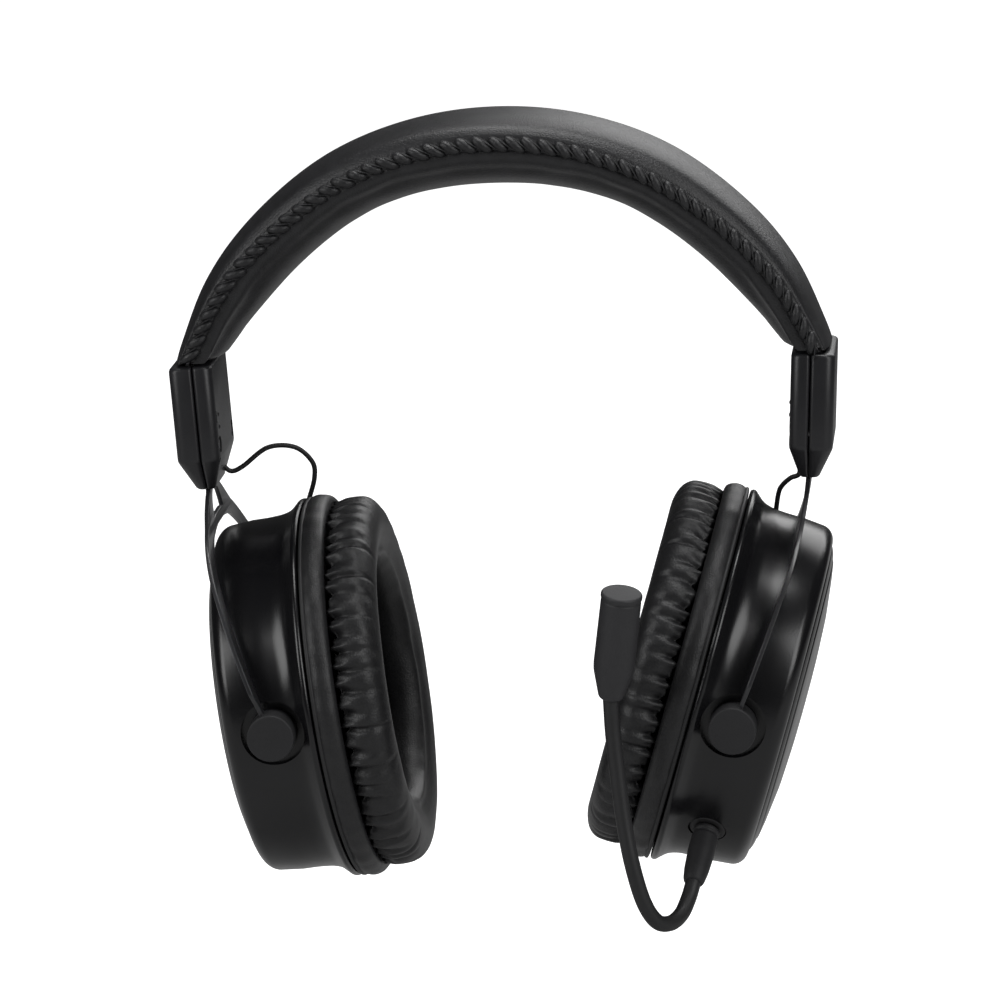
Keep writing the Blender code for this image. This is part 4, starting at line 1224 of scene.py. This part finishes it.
def makeMicrophone():
    seat = tiltedFrame("left") @ seatMatrix(shell["jackAxial"], shell["jackAngle"], -1)
    bush = turnedPiece("micJackSocket", [(4.7, 0.6), (4.7, -4.0), (3.0, -4.0), (3.0, -15.0), (2.1, -15.0),
                                         (2.1, 0.6)], seat,
                       "darkMoulding", 64, True, 0.35)
    place(bush, "left_cup", "socket_plastic", "mic_jack_socket")
    length, wide = mic["plugLength"], mic["plugRadius"]
    barrel = [(0.0, 0.8), (3.0, 0.8), (wide, 1.2), (wide, 2.0), (wide - 0.35, 2.3), (wide - 0.35, 2.9),
              (wide, 3.2),
              (wide + 0.05, 8.0), (wide - 0.25, length - 3.4), (2.75, length - 0.6), (2.3, length + 0.4),
              (0.0, length + 0.5)]
    plug = turnedPiece("micPlug", barrel, seat, "matteBlack", 72, False, 0.5)
    place(plug, "mic_boom", "matte_black_plastic", "mic_plug")
    end = seat @ Vector((0, 0, length + 0.6))
    route = [end - (seat.to_3x3() @ Vector((0, 0, 2.5)))] + [end + Vector(point) for point in mic["route"]]
    line = smoothLine([tuple(p) for p in route], 150)
    boom = tubeMesh("micBoom", line, mic["boomRadius"], "sleeveRubber", 24)
    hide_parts("mic_boom_root", "mic_boom_flex", "mic_boom_tip")
    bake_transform(boom)
    foot, top = Vector(line[-1]), end + Vector(mic["capsuleTop"])
    capsule = alongLine(foot, top)
    tall, r = (top - foot).length, mic["capsuleRadius"]
    body = [(0.0, 0.0), (2.7, 0.0), (3.2, 0.6), (r - 0.15, 7.6), (r, 9.4), (r - 0.15, tall - 2.2),
            (r - 0.35, tall - 1.9),
            (r - 0.35, tall - 1.6), (0.0, tall - 1.6)]
    place(turnedPiece("micCapsule", body, capsule, "micMatte", 96, False, 0.5), "mic_head", "mic_plastic",
          "mic_capsule_housing")
    disc = [(0.0, tall - 1.6), (r - 0.1, tall - 1.6), (r, tall - 1.2), (r, tall - 0.4), (r - 0.4, tall),
            (0.0, tall)]
    place(turnedPiece("micEndDisc", disc, capsule, "micMatte", 96, False, 0.25), "mic_head", "mic_plastic",
          "mic_end_disc")


def makeInlet():
    seat = tiltedFrame("left") @ seatMatrix(0.0, shell["inletAngle"], 1)
    bush = [(0.0, -12.5), (1.9, -12.5), (1.9, 0.2), (4.6, 0.2), (4.6, -4.0), (3.0, -4.0), (3.0, -14.0),
            (0.0, -14.0)]
    place(turnedPiece("cableInlet", bush, seat, "darkMoulding", 64, False, 0.3), "left_cup", "socket_plastic",
          "cable_inlet")


# Floor

def makeFloor():
    low = cadBox[0].z - studio["floorDrop"]
    mesh = bpy.data.meshes.new("floor")
    reach = studio["floorReach"]
    mesh.from_pydata([(-reach, -reach, low), (reach, -reach, low), (reach, reach, low), (-reach, reach, low)],
                     [], [(0, 1, 2, 3)])
    floor = bpy.data.objects.new("floor", mesh)
    bpy.context.scene.collection.objects.link(floor)
    pale = bpy.data.materials.new("paleFloor")
    pale.use_nodes = True
    tree = pale.node_tree
    shader = tree.nodes["Principled BSDF"]
    shader.inputs["Base Color"].default_value = (*[studio["floorTone"]] * 3, 1)
    shader.inputs["Roughness"].default_value = 0.9
    shader.inputs["Emission Color"].default_value = (1, 1, 1, 1)
    seen = addNode(tree, "ShaderNodeLightPath").outputs["Is Camera Ray"]
    glow = addNode(tree, "ShaderNodeMath", {0: seen, 1: studio["floorGlow"]}, operation="MULTIPLY")
    tree.links.new(glow.outputs[0], shader.inputs["Emission Strength"])
    mesh.materials.append(pale)


slotLooks = {
    "band_leatherette": "bandLeather", "pleated_leatherette": "cushionLeather", "spring_steel": "springSteel",
    "housing_plastic": "housingSatin", "painted_metal": "yokePaint", "satin_black_plastic": "shellSatin",
    "cap_plastic": "shellSatin", "baffle_plastic": "darkMoulding", "driver_frame": "darkMoulding",
    "driver_grille": "darkMoulding", "scrim_cloth": "scrimWeave", "matte_black_plastic": "matteBlack",
    "lead_jacket": "sleeveRubber", "boom_rubber": "sleeveRubber", "mic_plastic": "micMatte",
    "socket_plastic": "darkMoulding", "jack_metal": "platedPin",
}


def dressNodes():
    slots = {part["node"]: part["material_slot"] for part in frame["record"]["subparts"]}
    for name, obj in nodes.items():
        for holder in obj.material_slots:
            holder.material = looks[slotLooks[slots[name]]]


makeCamera()
makeStudio()
makeFloor()
dressNodes()
print("studio ready")
makeBand()
print("headband made")
pleats = pleatTree()
foam = foamForCushion()
for side in sides:
    makeShell(side)
    makeCap(side)
    makeBaffle(side)
    makeCushion(side, foam, pleats)
    makeSkirt(side)
    makeScrim(side)
    print(side, "cup made")
for side in sides:
    makeHousing(side)
    makeYoke(side)
    makeKnobs(side)
    makeLeads(side)
    print(side, "housing, yoke and leads made")
makeMicrophone()
makeInlet()
print("microphone made")

print("pieces ready")
